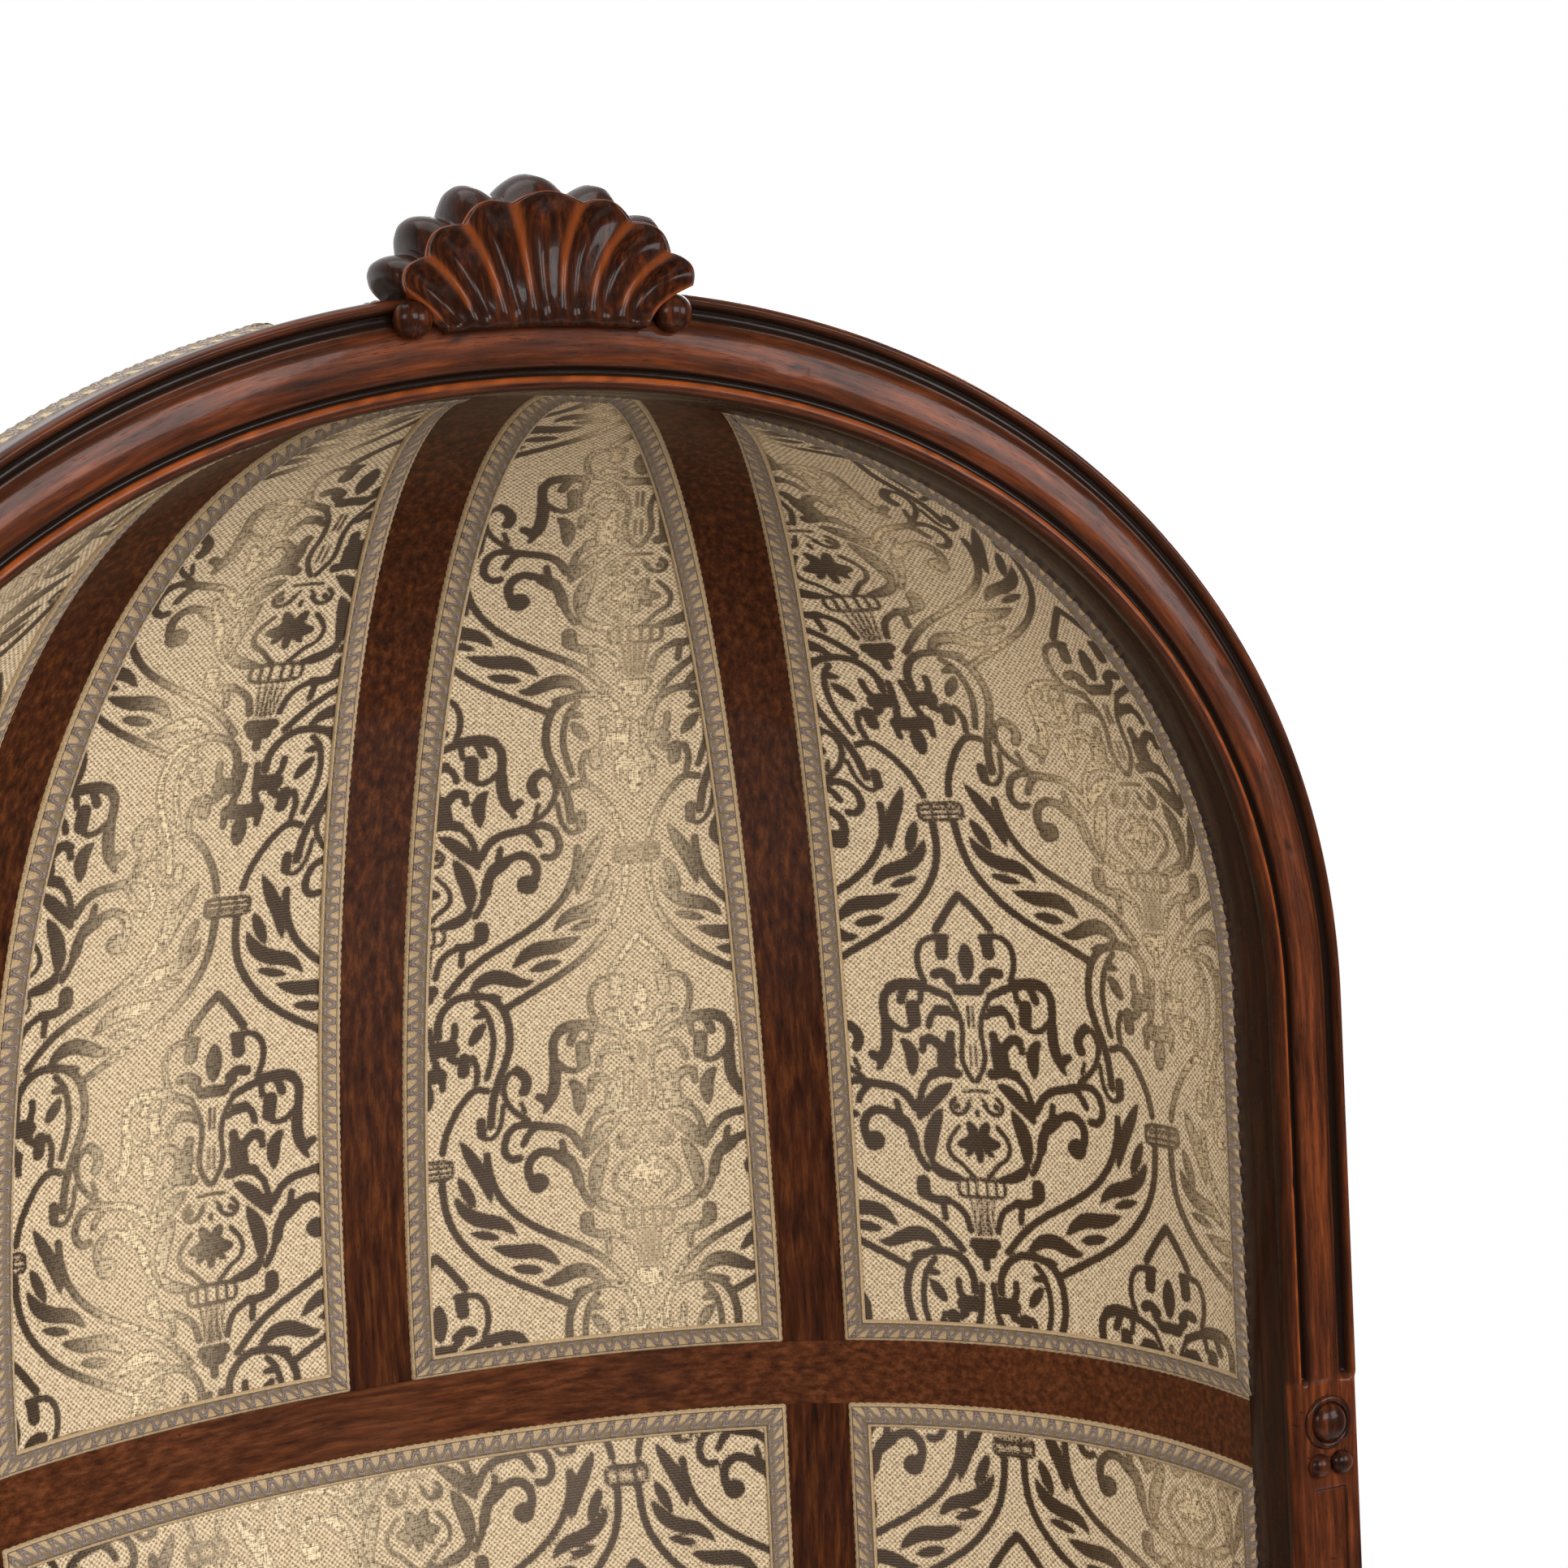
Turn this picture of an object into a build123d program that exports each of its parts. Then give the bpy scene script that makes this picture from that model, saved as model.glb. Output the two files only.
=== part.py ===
from build123d import *
import os
from math import cos, radians, sin

os.makedirs("parts", exist_ok=True)

# Hall porter chair. X runs across, Y runs to the back, Z is up, all lengths in mm.
# The front face of the arched frame lies in the plane Y = 0 while the chair is built.

# Arched front frame
half_width = 405.0
crown_height = 1670.0
arch_height = 360.0
arch_power = 2.084
frame_depth = 42.0
stile_width = 39.5
crown_width = 45.7
groove_depth = 4.0
groove_shares = ((0.20, 0.28), (0.72, 0.80))

# Canopy and wall behind the frame
back_depth = 343.0
wall_thickness = 43.0
plan_power = 2.165
back_rake = 50.0
rib_recess = 2.0
inner_pad_thickness = 12.0
outer_pad_thickness = 8.0
apex_share = 0.998
canopy_share_angles = (22.0, 42.0, 59.0, 73.0, 82.0)

# Ribs and rails
rib_width = 36.0
rib_spread = 78.0
rib_foot_share = 0.6074
canopy_height = 587.0
rail_height = 36.0
arm_rail_height = 642.0
arm_rail_thickness = 20.0
bracket_radius = 44.0

# Seat frame
seat_height = 400.0
seat_rail_depth = 90.0
front_reach = 290.0
front_rail_thickness = 28.0
rail_setback = 3.0
apron_lift = 26.0
apron_drop = 12.0
apron_centre = 70.0
leg_post = 52.0
deck_thickness = 12.0
block_leg = 62.0
block_height = 40.0
screw_radius = 2.5
screw_length = 46.0
screw_head_radius = 4.5
screw_head_height = 3.0
screw_spacing = 20.0

# Legs
glide_radius = 11.0
glide_height = 4.0
rear_leg_top = 42.0
rear_leg_foot = 34.0
rear_leg_kick = 78.0
rear_leg_splay = 20.0

# Arms
arm_height = 672.0
arm_thickness = 34.0
arm_drop = 22.0
arm_width = 46.0
arm_reach = 250.0
scroll_radius = 29.0
scroll_boss_radius = 12.0
scroll_boss_height = 4.0
support_width = 34.0
support_depth = 36.0
support_setback = 230.0
support_bow = 26.0
sag_share = 0.7
back_bow_share = 0.7

# Carving
shell_width = 127.0
shell_height = 60.0
shell_thickness = 40.0
shell_lobes = 7
shell_seat = 18.0
shell_front = 4.0
shell_bead_radius = 8.5
shell_bead_reach = 61.0
flute_share = 0.62
shell_gap = 0.3
cabochon_radius = 11.5
bead_radius = 6.2
cabochon_rise = 14.0
bead_fall = 10.0
carving_depth = 7.0
field_top = 20.0
field_bottom = 70.0
field_width = 17.0
field_depth = 3.5
block_top = 34.0
block_bottom = 76.0

# Cushion
cushion_gap = 5.0
cushion_height = 92.0
cushion_inset = 230.0
cushion_front_gap = 12.0
cushion_corner = 46.0
cushion_lift = 0.3

overrun = 20.0
halvings = 40

spring_height = crown_height - arch_height
shoulder_height = crown_height - canopy_height
rib_foot_half_span = half_width * rib_foot_share
rail_bottom = seat_height - seat_rail_depth
rail_top_edge = shoulder_height + rail_height / 2
rail_low_edge = shoulder_height - rail_height / 2
inner_half_width = half_width - stile_width
tall = crown_height * 2

nodes = {}


def handle_share(power):
    """Handle length that makes a cubic quarter curve pass through a superellipse's middle."""
    return (8 * 2 ** (-1 / power) - 4) / 3


def quarter_point(power, t):
    """Shares (across, along) on the quarter curve, from its end at t = 0 to its middle at t = 1."""
    k = handle_share(power)
    across = (1 - t) ** 3 + 3 * (1 - t) ** 2 * t + 3 * (1 - t) * t ** 2 * k
    along = 3 * (1 - t) ** 2 * t * k + 3 * (1 - t) * t ** 2 + t ** 3
    return across, along


def both_sides(right_half):
    return right_half + mirror(right_half, about=Plane.YZ)


def arch_curve(share):
    """Right half of the arch's outline at a share of the frame's width: 0 is the outer edge."""
    half = half_width - stile_width * share
    rise = arch_height - crown_width * share
    k = handle_share(arch_power)
    top = spring_height + rise
    return Bezier((half, 0, spring_height), (half, 0, spring_height + rise * k), (half * k, 0, top), (0, 0, top))


def arch_band(share_out, share_in, depth):
    """Curved bar above the spring line, between two shares of the frame's width."""
    outside = arch_curve(share_out)
    inside = arch_curve(share_in)
    ends = [Line(outside @ 0, inside @ 0), Line(outside @ 1, inside @ 1)]
    band = make_face(Curve() + [outside, inside] + ends)
    return both_sides(extrude(band, depth, dir=(0, 1, 0)))


def stile_bar(share_out, share_in, depth, low, high, side):
    """Upright bar of one stile, between two shares of the frame's width."""
    x_out = half_width - stile_width * share_out
    x_in = half_width - stile_width * share_in
    size = (x_out - x_in, depth, high - low)
    return Pos(side * (x_out + x_in) / 2, depth / 2, (low + high) / 2) * Box(*size)


def plan_size(z, share):
    """Half width and depth of the wall's plan at height z: share 0 is inside, 1 outside."""
    half = inner_half_width + stile_width * share
    depth = back_depth - wall_thickness * (1 - share)
    crown = crown_height - crown_width * (1 - share)
    rise = crown - spring_height
    if z > spring_height:
        half *= (1 - ((z - spring_height) / rise) ** arch_power) ** (1 / arch_power)
    if z > shoulder_height:
        depth *= (1 - ((z - shoulder_height) / (crown - shoulder_height)) ** 2) ** 0.5
    else:
        depth -= back_rake * (shoulder_height - z) / (shoulder_height - seat_height)
    return half, depth


def plan_point(z, share, t):
    half, depth = plan_size(z, share)
    across, along = quarter_point(plan_power, t)
    return Vector(half * across, frame_depth + depth * along, z)


def plan_half(z, share):
    """Right half of the room inside the wall's plan at height z."""
    half, depth = plan_size(z, share)
    k = handle_share(plan_power)
    back = frame_depth + depth
    curve = Bezier((half, frame_depth, z), (half, frame_depth + depth * k, z), (half * k, back, z), (0, back, z))
    return make_face(Curve() + [curve, Polyline((0, back, z), (0, frame_depth, z), (half, frame_depth, z))])


def canopy_solid(share):
    """Right half of everything under one surface of the canopy, down to the shoulder rail."""
    crown = crown_height - crown_width * (1 - share)
    rise = crown - spring_height
    heights = [rail_top_edge, (rail_top_edge + spring_height) / 2, spring_height]
    for angle in canopy_share_angles:
        heights.append(spring_height + rise * sin(radians(angle)))
    heights.append(spring_height + rise * apex_share)
    return loft([plan_half(z, share) for z in heights])


def wall_solid(share, low, high):
    return loft([plan_half(low, share), plan_half(high, share)], ruled=True)


def layer(solid_of, near, far):
    return solid_of(far) - solid_of(near)


# Upright slabs that hold the ribs: one in the middle and one fanned out at each side
def crossing_point(z, share, is_before):
    low, high = 0.0, 1.0
    for _ in range(halvings):
        middle = (low + high) / 2
        if is_before(plan_point(z, share, middle)):
            low = middle
        else:
            high = middle
    return plan_point(z, share, low)


rib_foot = crossing_point(shoulder_height, 0.5, lambda point: point.X > rib_foot_half_span)
rib_start = Vector(rib_spread, frame_depth, 0)
rib_direction = Vector(rib_foot.X - rib_start.X, rib_foot.Y - rib_start.Y, 0).normalized()


def rib_band(width):
    """Upright slab of the right side rib, from the frame to past the outside."""
    reach = back_depth + overrun * 2
    plane = Plane(origin=rib_start, x_dir=rib_direction, z_dir=(0, 0, 1))
    return plane * Pos(reach / 2 - overrun, 0, tall / 2) * Box(reach, width, tall)


def rib_point(z, share):
    """Where the middle of the right side rib crosses the wall at height z."""
    def is_before(point):
        return rib_direction.X * (point.Y - rib_start.Y) < rib_direction.Y * (point.X - rib_start.X)
    return crossing_point(z, share, is_before)


middle_band = Pos(0, frame_depth + tall / 2, tall / 2) * Box(rib_width, tall, tall)
side_band = rib_band(rib_width)
recess_share = rib_recess / wall_thickness
inner_pad_share = inner_pad_thickness / wall_thickness
outer_pad_share = 1 - outer_pad_thickness / wall_thickness
rib_outer_share = 1 - recess_share
side_names = {1: "right", -1: "left"}


def add_pair(name, right_piece):
    """Stores a piece of the right side and its mirror image on the left."""
    nodes[name + "_right"] = right_piece
    nodes[name + "_left"] = mirror(right_piece, about=Plane.YZ)


# Crown of the arched frame with its two quirks
crown_piece = arch_band(0, 1, frame_depth)
for groove in groove_shares:
    crown_piece -= arch_band(groove[0], groove[1], groove_depth)
nodes["arch_crown"] = crown_piece

# Stiles, with a plain block for the carving and quirks above and below it
carve_high = shoulder_height + block_top
carve_low = shoulder_height - block_bottom
field_size = (field_width, field_depth, field_bottom - field_top)
for side, name in side_names.items():
    stile = stile_bar(0, 1, frame_depth, rail_bottom, spring_height, side)
    for groove in groove_shares:
        stile -= stile_bar(*groove, groove_depth, carve_high, spring_height, side)
        stile -= stile_bar(*groove, groove_depth, arm_height + overrun, carve_low, side)
    stile_x = side * (half_width - stile_width / 2)
    field_z = shoulder_height - (field_top + field_bottom) / 2
    stile -= Pos(stile_x, field_depth / 2, field_z) * Box(*field_size)
    nodes["stile_" + name] = stile
    carving = Part()
    spots = [(0, cabochon_rise, cabochon_radius)]
    spots += [(hand * bead_radius, -bead_fall, bead_radius) for hand in (1, -1)]
    for dx, dz, radius in spots:
        dome = Sphere(radius) & (Pos(0, -radius, 0) * Box(radius * 2, radius * 2, radius * 2))
        squashed = scale(dome, by=(1, carving_depth / cabochon_radius, 1))
        carving += Pos(stile_x + dx, 0, shoulder_height + dz) * squashed
    nodes["trefoil_" + name] = carving

# Shell crest on the crown
lobe_step = 180.0 / shell_lobes
lobe_reach = shell_width / 2 - shell_bead_radius * 1.5
shell_plan = Sketch()
flutes = []
for i in range(shell_lobes):
    angle = lobe_step * (i + 0.5)
    radius = lobe_reach * radians(lobe_step) / 2
    rim_x = lobe_reach * cos(radians(angle))
    rim_z = (shell_height - radius) * sin(radians(angle))
    direction = Vector(rim_x, 0, rim_z)
    shell_plan += Pos(rim_x, rim_z) * Circle(radius)
    flutes.append((direction, radius * flute_share, angle))
fan = [(v.X, v.Z) for v, _, _ in flutes]
fan_face = make_face(Polyline(*([(lobe_reach / 2, 0)] + fan + [(-lobe_reach / 2, 0)]), close=True))
shell_plan += fan_face
shell = extrude(Plane.XZ * shell_plan, shell_thickness / 2, both=True)
for direction, radius, angle in flutes:
    reach = direction.length + radius
    cone = Cone(radius / 4, radius, reach)
    turned = Rot(0, 90 - angle, 0) * (Pos(0, 0, reach / 2) * cone)
    shell -= Pos(0, -shell_thickness / 2, 0) * turned
for hand in (1, -1):
    bead_place = Pos(hand * shell_bead_reach, shell_front - shell_thickness / 2, shell_bead_radius / 2)
    shell += bead_place * Sphere(shell_bead_radius)
shell = Pos(0, shell_thickness / 2 - shell_front, crown_height - shell_seat) * shell
arch_edge = arch_curve(shell_seat / crown_width)
under_face = make_face(Curve() + [arch_edge, Polyline(arch_edge @ 1, Vector(0, 0, spring_height), arch_edge @ 0)])
under_arch = both_sides(extrude(under_face, frame_depth * 2, both=True, dir=(0, 1, 0)))
seat_width = (shell_bead_reach - shell_bead_radius) * 2
seat_room = Pos(0, frame_depth / 2, crown_height) * Box(seat_width, frame_depth, shell_height * 2)
nodes["arch_crown"] -= seat_room - under_arch
near_edge = arch_curve((shell_seat - shell_gap) / crown_width)
near_face = make_face(Curve() + [near_edge, Polyline(near_edge @ 1, Vector(0, 0, spring_height), near_edge @ 0)])
near_arch = both_sides(extrude(near_face, frame_depth * 2, both=True, dir=(0, 1, 0)))
foot_size = (seat_width - shell_gap * 2, frame_depth, shell_height * 2)
foot_room = Pos(0, frame_depth / 2, crown_height) * Box(*foot_size)
foot = (arch_band(-shell_gap / crown_width, 1, frame_depth) & foot_room) - near_arch
collar = arch_band(-shell_gap / crown_width, 1, frame_depth) - foot_room
nodes["shell_crest"] = (shell - near_arch - collar) + foot

# Canopy panels and ribs
inner_layer = layer(canopy_solid, 0, inner_pad_share)
outer_layer = layer(canopy_solid, outer_pad_share, 1)
rib_layer = layer(canopy_solid, recess_share, rib_outer_share)
nodes["centre_rib"] = both_sides(rib_layer & middle_band)
add_pair("canopy_rib", rib_layer & side_band)
cuts = middle_band + side_band
for face_name, shell_layer in (("inner", inner_layer), ("outer", outer_layer)):
    pieces = sorted((shell_layer - cuts).solids(), key=lambda solid: solid.center().X)
    print(face_name, "canopy panels", len(pieces))
    add_pair("canopy_" + face_name + "_panel_back", pieces[-2])
    add_pair("canopy_" + face_name + "_panel_side", pieces[-1])

# Shoulder rail: one bent bar round the inside of the wall
rail_plan = plan_half(rail_low_edge, rib_outer_share) - plan_half(rail_low_edge, recess_share)
nodes["shoulder_rail"] = both_sides(extrude(rail_plan, rail_height, dir=(0, 0, 1)))

# Wall below the shoulder rail
def wall_layer(near, far, low, high):
    return wall_solid(far, low, high) - wall_solid(near, low, high)


post_layer = wall_layer(recess_share, rib_outer_share, seat_height, rail_low_edge)
add_pair("wall_post", post_layer & side_band)
nodes["back_seat_rail"] = both_sides(wall_layer(recess_share, rib_outer_share, rail_bottom, seat_height))

inner_wall = wall_layer(0, inner_pad_share, seat_height, rail_low_edge) - side_band
outer_wall = wall_layer(outer_pad_share, 1, seat_height, rail_low_edge) - side_band
inner_pieces = sorted(inner_wall.solids(), key=lambda solid: solid.center().X)
nodes["wall_inner_panel_back"] = both_sides(inner_pieces[0])
add_pair("wall_inner_panel_side", inner_pieces[-1])

# Arm rail on the outside of each side wall, flared under its joint with the post
arm_low = arm_rail_height - rail_height / 2
arm_high = arm_rail_height + rail_height / 2
flare_y = rib_point(arm_low, 1).Y - rib_width / 4
flare_z = arm_low - bracket_radius
dip = bracket_radius * (1 - cos(radians(45)))
flare_arc = ThreePointArc((flare_y, flare_z), (flare_y - dip, arm_low - dip), (flare_y - bracket_radius, arm_low))
rail_outline = Curve() + [
    Polyline((flare_y - bracket_radius, arm_low), (0, arm_low), (0, arm_high), (back_depth * 2, arm_high)),
    Polyline((back_depth * 2, arm_high), (back_depth * 2, flare_z), (flare_y, flare_z)),
    flare_arc,
]
rail_prism = extrude(Plane.YZ * make_face(rail_outline), half_width + overrun, both=True)
arm_rail_share = rib_outer_share - arm_rail_thickness / wall_thickness
rail_zone = wall_layer(arm_rail_share, rib_outer_share, seat_height, rail_low_edge) & rail_prism
rail_pieces = sorted((rail_zone - side_band).solids(), key=lambda solid: solid.center().X)
add_pair("arm_rail", rail_pieces[-1])
outer_pieces = sorted(outer_wall.solids(), key=lambda solid: solid.center().X)
nodes["wall_outer_panel_back"] = both_sides(outer_pieces[0])
low_piece, high_piece = sorted((outer_pieces[-1] - rail_prism).solids(), key=lambda solid: solid.center().Z)
add_pair("wall_outer_panel_low", low_piece)
add_pair("wall_outer_panel_high", high_piece)

# Front legs: a square post in the seat frame over a cabriole with a pad foot
cabriole_shares = (
    (0.00, 0.66, 0.20),
    (0.05, 0.84, 0.22),
    (0.10, 0.70, 0.19),
    (0.18, 0.50, 0.09),
    (0.28, 0.47, 0.00),
    (0.42, 0.53, -0.05),
    (0.56, 0.64, -0.02),
    (0.70, 0.80, 0.07),
    (0.82, 0.95, 0.15),
    (0.91, 1.02, 0.13),
    (1.00, 1.00, 0.00),
)
post_x = half_width - leg_post / 2
post_y = leg_post / 2 - front_reach
leg_height = rail_bottom - glide_height
glides = Part()
for side, name in side_names.items():
    sections = []
    for height_share, size_share, reach_share in cabriole_shares:
        size = leg_post * size_share
        reach = leg_post * reach_share
        place = Pos(side * (post_x + reach), post_y - reach, glide_height + leg_height * height_share)
        sections.append(place * RectangleRounded(size, size, size / 4))
    post = Pos(side * post_x, post_y, rail_bottom + seat_rail_depth / 2) * Box(leg_post, leg_post, seat_rail_depth)
    nodes["front_leg_" + name] = post + loft(sections, ruled=True)
    foot = leg_post * cabriole_shares[0][2]
    glides += Pos(side * (post_x + foot), post_y - foot, glide_height / 2) * Cylinder(glide_radius, glide_height)

# Rear legs: sabre legs under the wall posts, kicked back and splayed
sabre_shares = ((0.0, 1.0), (0.3, 0.56), (0.65, 0.17), (1.0, 0.0))
rear_top = rib_point(rail_bottom, 0.5)
for side, name in side_names.items():
    sections = []
    for height_share, kick_share in sabre_shares:
        size = rear_leg_foot + (rear_leg_top - rear_leg_foot) * height_share
        x = side * (rear_top.X + rear_leg_splay * kick_share)
        place = Pos(x, rear_top.Y + rear_leg_kick * kick_share, glide_height + leg_height * height_share)
        sections.append(place * RectangleRounded(size, size, size / 8))
    nodes["rear_leg_" + name] = loft(sections)
    foot_x = side * (rear_top.X + rear_leg_splay)
    glides += Pos(foot_x, rear_top.Y + rear_leg_kick, glide_height / 2) * Cylinder(glide_radius, glide_height)
nodes["floor_glides"] = glides

# Front and side seat rails with shaped lower edges
post_in_x = half_width - leg_post
post_back_y = leg_post - front_reach
rail_front_y = rail_setback - front_reach
rail_back_y = rail_front_y + front_rail_thickness
lift_z = rail_bottom + apron_lift
drop_z = rail_bottom + apron_drop
apron = [
    ThreePointArc((-post_in_x, rail_bottom), (-post_in_x / 2, lift_z), (-apron_centre, drop_z)),
    ThreePointArc((-apron_centre, drop_z), (0, rail_bottom + apron_drop / 3), (apron_centre, drop_z)),
    ThreePointArc((apron_centre, drop_z), (post_in_x / 2, lift_z), (post_in_x, rail_bottom)),
    Polyline((post_in_x, rail_bottom), (post_in_x, seat_height), (-post_in_x, seat_height), (-post_in_x, rail_bottom)),
]
front_rail = extrude(Plane.XZ * make_face(Curve() + apron), front_rail_thickness, dir=(0, 1, 0))
nodes["front_seat_rail"] = Pos(0, rail_front_y, 0) * front_rail
side_edge = [
    ThreePointArc((post_back_y, rail_bottom), (post_back_y / 2, lift_z), (0, rail_bottom)),
    Polyline((0, rail_bottom), (0, seat_height), (post_back_y, seat_height), (post_back_y, rail_bottom)),
]
for side, name in side_names.items():
    side_rail = extrude(Plane.YZ * make_face(Curve() + side_edge), stile_width / 2, both=True)
    nodes["side_seat_rail_" + name] = Pos(side * (half_width - stile_width / 2), 0, 0) * side_rail

# Deck that carries the cushion, glued blocks and screws in the front corners
deck_low = seat_height - deck_thickness
deck_long = frame_depth - rail_back_y
deck_middle = Pos(0, frame_depth - deck_long / 2, deck_low + deck_thickness / 2)
deck = deck_middle * Box(inner_half_width * 2, deck_long, deck_thickness)
deck += both_sides(extrude(plan_half(deck_low, recess_share), deck_thickness, dir=(0, 0, 1)))
for side in side_names:
    deck -= Pos(side * post_x, post_y, seat_height) * Box(leg_post, leg_post, seat_rail_depth)
nodes["seat_deck"] = deck
screws = Part()
for side, name in side_names.items():
    outline = Polyline(
        (side * inner_half_width, post_back_y),
        (side * inner_half_width, post_back_y + block_leg),
        (side * (post_in_x - block_leg), rail_back_y),
        (side * post_in_x, rail_back_y),
        (side * post_in_x, post_back_y),
        close=True,
    )
    block = extrude(Pos(0, 0, deck_low - block_height) * make_face(outline), block_height, dir=(0, 0, 1))
    start_x = side * (inner_half_width + post_in_x - block_leg) / 2
    start_y = (post_back_y + block_leg + rail_back_y) / 2
    aim = Vector(side * post_in_x - start_x, post_back_y - start_y, 0)
    leg = nodes["front_leg_" + name]
    for hand in (1, -1):
        origin = Vector(start_x, start_y, deck_low - block_height / 2 + hand * screw_spacing / 2)
        plane = Plane(origin=origin, z_dir=aim)
        shank = plane * Pos(0, 0, screw_length / 2) * Cylinder(screw_radius, screw_length)
        head = plane * Pos(0, 0, -screw_head_height / 2) * Cylinder(screw_head_radius, screw_head_height)
        block -= shank + head
        leg -= shank
        screws += shank + head
    nodes["front_leg_" + name] = leg
    nodes["corner_block_" + name] = block
nodes["corner_block_screws"] = screws

# Open arms with scrolled ends on curved supports
scroll_top = arm_height - arm_drop
scroll_z = scroll_top - scroll_radius
arm_low_edge = arm_height - arm_thickness
sag = arm_drop * sag_share
back_bow = support_bow * back_bow_share
arm_side = [
    ThreePointArc((0, arm_height), (-arm_reach / 2, arm_height - sag), (-arm_reach, scroll_top)),
    Line((-arm_reach, scroll_top), (-arm_reach, scroll_z)),
    ThreePointArc((-arm_reach, scroll_z), (-arm_reach / 2, arm_low_edge - arm_drop / 2), (0, arm_low_edge)),
    Line((0, arm_low_edge), (0, arm_height)),
]
arm_plan = make_face(Curve() + arm_side) + Pos(-arm_reach, scroll_z) * Circle(scroll_radius)
arm_bar = extrude(Plane.YZ * arm_plan, arm_width / 2, both=True)
boss_half = arm_width / 2 + scroll_boss_height
arm_bar += extrude(Plane.YZ * Pos(-arm_reach, scroll_z) * Circle(scroll_boss_radius), boss_half, both=True)
waist = (seat_height + scroll_z) / 2
front_low = -support_setback - support_depth / 2
back_low = -support_setback + support_depth / 2
support_side = [
    ThreePointArc((front_low, seat_height), (front_low + support_bow, waist), (front_low, arm_height)),
    Line((front_low, arm_height), (back_low, arm_height)),
    ThreePointArc((back_low, arm_height), (back_low + back_bow, waist), (back_low, seat_height)),
    Line((back_low, seat_height), (front_low, seat_height)),
]
support_bar = extrude(Plane.YZ * make_face(Curve() + support_side), support_width / 2, both=True)
trimmed = sorted((support_bar - arm_bar).solids(), key=lambda solid: solid.center().Z)[0]
for side, name in side_names.items():
    place = Pos(side * (half_width - stile_width / 2), 0, 0)
    nodes["arm_" + name] = place * arm_bar
    nodes["arm_support_" + name] = place * trimmed

# Loose seat cushion with drawn-in sides and a crown
cushion_shares = (
    (0.00, 0.07),
    (0.14, 0.02),
    (0.32, 0.00),
    (0.54, 0.01),
    (0.68, 0.05),
    (0.79, 0.16),
    (0.88, 0.36),
    (0.95, 0.62),
    (1.00, 0.92),
)
cushion_half = inner_half_width - cushion_gap
cushion_depth = plan_size(seat_height, 0)[1] - cushion_gap
cushion_front = cushion_front_gap - front_reach


def cushion_section(height_share, inset_share):
    z = seat_height + cushion_lift + cushion_height * height_share
    inset = cushion_inset * inset_share
    half = cushion_half - inset
    front = cushion_front + inset
    back = [quarter_point(plan_power, i / 4) for i in range(5)]
    right = [Vector(half * across, frame_depth + (cushion_depth - inset) * along, z) for across, along in back]
    left = [Vector(-p.X, p.Y, z) for p in reversed(right)]
    turn = cushion_corner * (1 - inset_share / 2)
    dip = turn * (1 - cos(radians(45)))
    edges = []
    for run in (right, left):
        edges.append(ThreePointArc(run[0], run[1], run[2]))
        edges.append(ThreePointArc(run[2], run[3], run[4]))
    edges.append(Line(left[4], Vector(-half, front + turn, z)))
    edges.append(ThreePointArc((-half, front + turn, z), (dip - half, front + dip, z), (turn - half, front, z)))
    edges.append(Line(Vector(turn - half, front, z), Vector(half - turn, front, z)))
    edges.append(ThreePointArc((half - turn, front, z), (half - dip, front + dip, z), (half, front + turn, z)))
    edges.append(Line(Vector(half, front + turn, z), right[0]))
    return make_face(Curve() + edges)


nodes["seat_cushion"] = loft([cushion_section(*pair) for pair in cushion_shares], ruled=True)

# The stored origin is on the floor, under the centre of the whole chair's box
whole = Compound(children=[Compound(shape.wrapped) for shape in nodes.values()]).bounding_box()
shift = -(whole.min.Y + whole.max.Y) / 2
print("shift along Y", round(shift, 3))
print("box", [round(v, 2) for v in whole.min], [round(v, 2) for v in whole.max])
print("arm rail flare at", round(flare_y, 1), "rear leg top", [round(v, 1) for v in rear_top])
for name, shape in nodes.items():
    solids = [Pos(0, shift, 0) * solid for solid in shape.solids()]
    print(name, len(solids))
    export_step(solids[0] if len(solids) == 1 else Compound(children=solids), "parts/" + name + ".step")
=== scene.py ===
import math
import bpy
import numpy as np
from mathutils import Matrix, Vector


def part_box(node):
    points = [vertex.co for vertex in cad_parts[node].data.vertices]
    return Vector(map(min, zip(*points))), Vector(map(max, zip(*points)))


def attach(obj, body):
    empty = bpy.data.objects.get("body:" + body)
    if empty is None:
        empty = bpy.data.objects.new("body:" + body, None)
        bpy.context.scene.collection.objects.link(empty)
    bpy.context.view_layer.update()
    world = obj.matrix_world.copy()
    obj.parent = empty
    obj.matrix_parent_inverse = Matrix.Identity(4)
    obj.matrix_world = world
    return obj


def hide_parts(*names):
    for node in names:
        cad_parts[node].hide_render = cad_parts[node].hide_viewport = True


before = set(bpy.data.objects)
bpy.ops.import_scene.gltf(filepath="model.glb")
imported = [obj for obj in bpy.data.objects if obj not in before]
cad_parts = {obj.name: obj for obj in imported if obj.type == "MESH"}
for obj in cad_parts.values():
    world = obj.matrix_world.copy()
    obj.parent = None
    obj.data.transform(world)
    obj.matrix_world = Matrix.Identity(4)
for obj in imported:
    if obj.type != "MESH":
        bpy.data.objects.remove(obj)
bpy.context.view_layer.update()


# Studio: a white sweep behind the chair, a darker room behind the camera, a pale floor and lamps.
# The camera stands in front of the left stile at eye height, as in the photograph.
def linear(code):
    """Linear RGBA of an sRGB hex colour."""
    shares = [int(code[i:i + 2], 16) / 255 for i in (1, 3, 5)]
    return tuple(s / 12.92 if s <= 0.04045 else ((s + 0.055) / 1.055) ** 2.4 for s in shares) + (1.0,)


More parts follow.
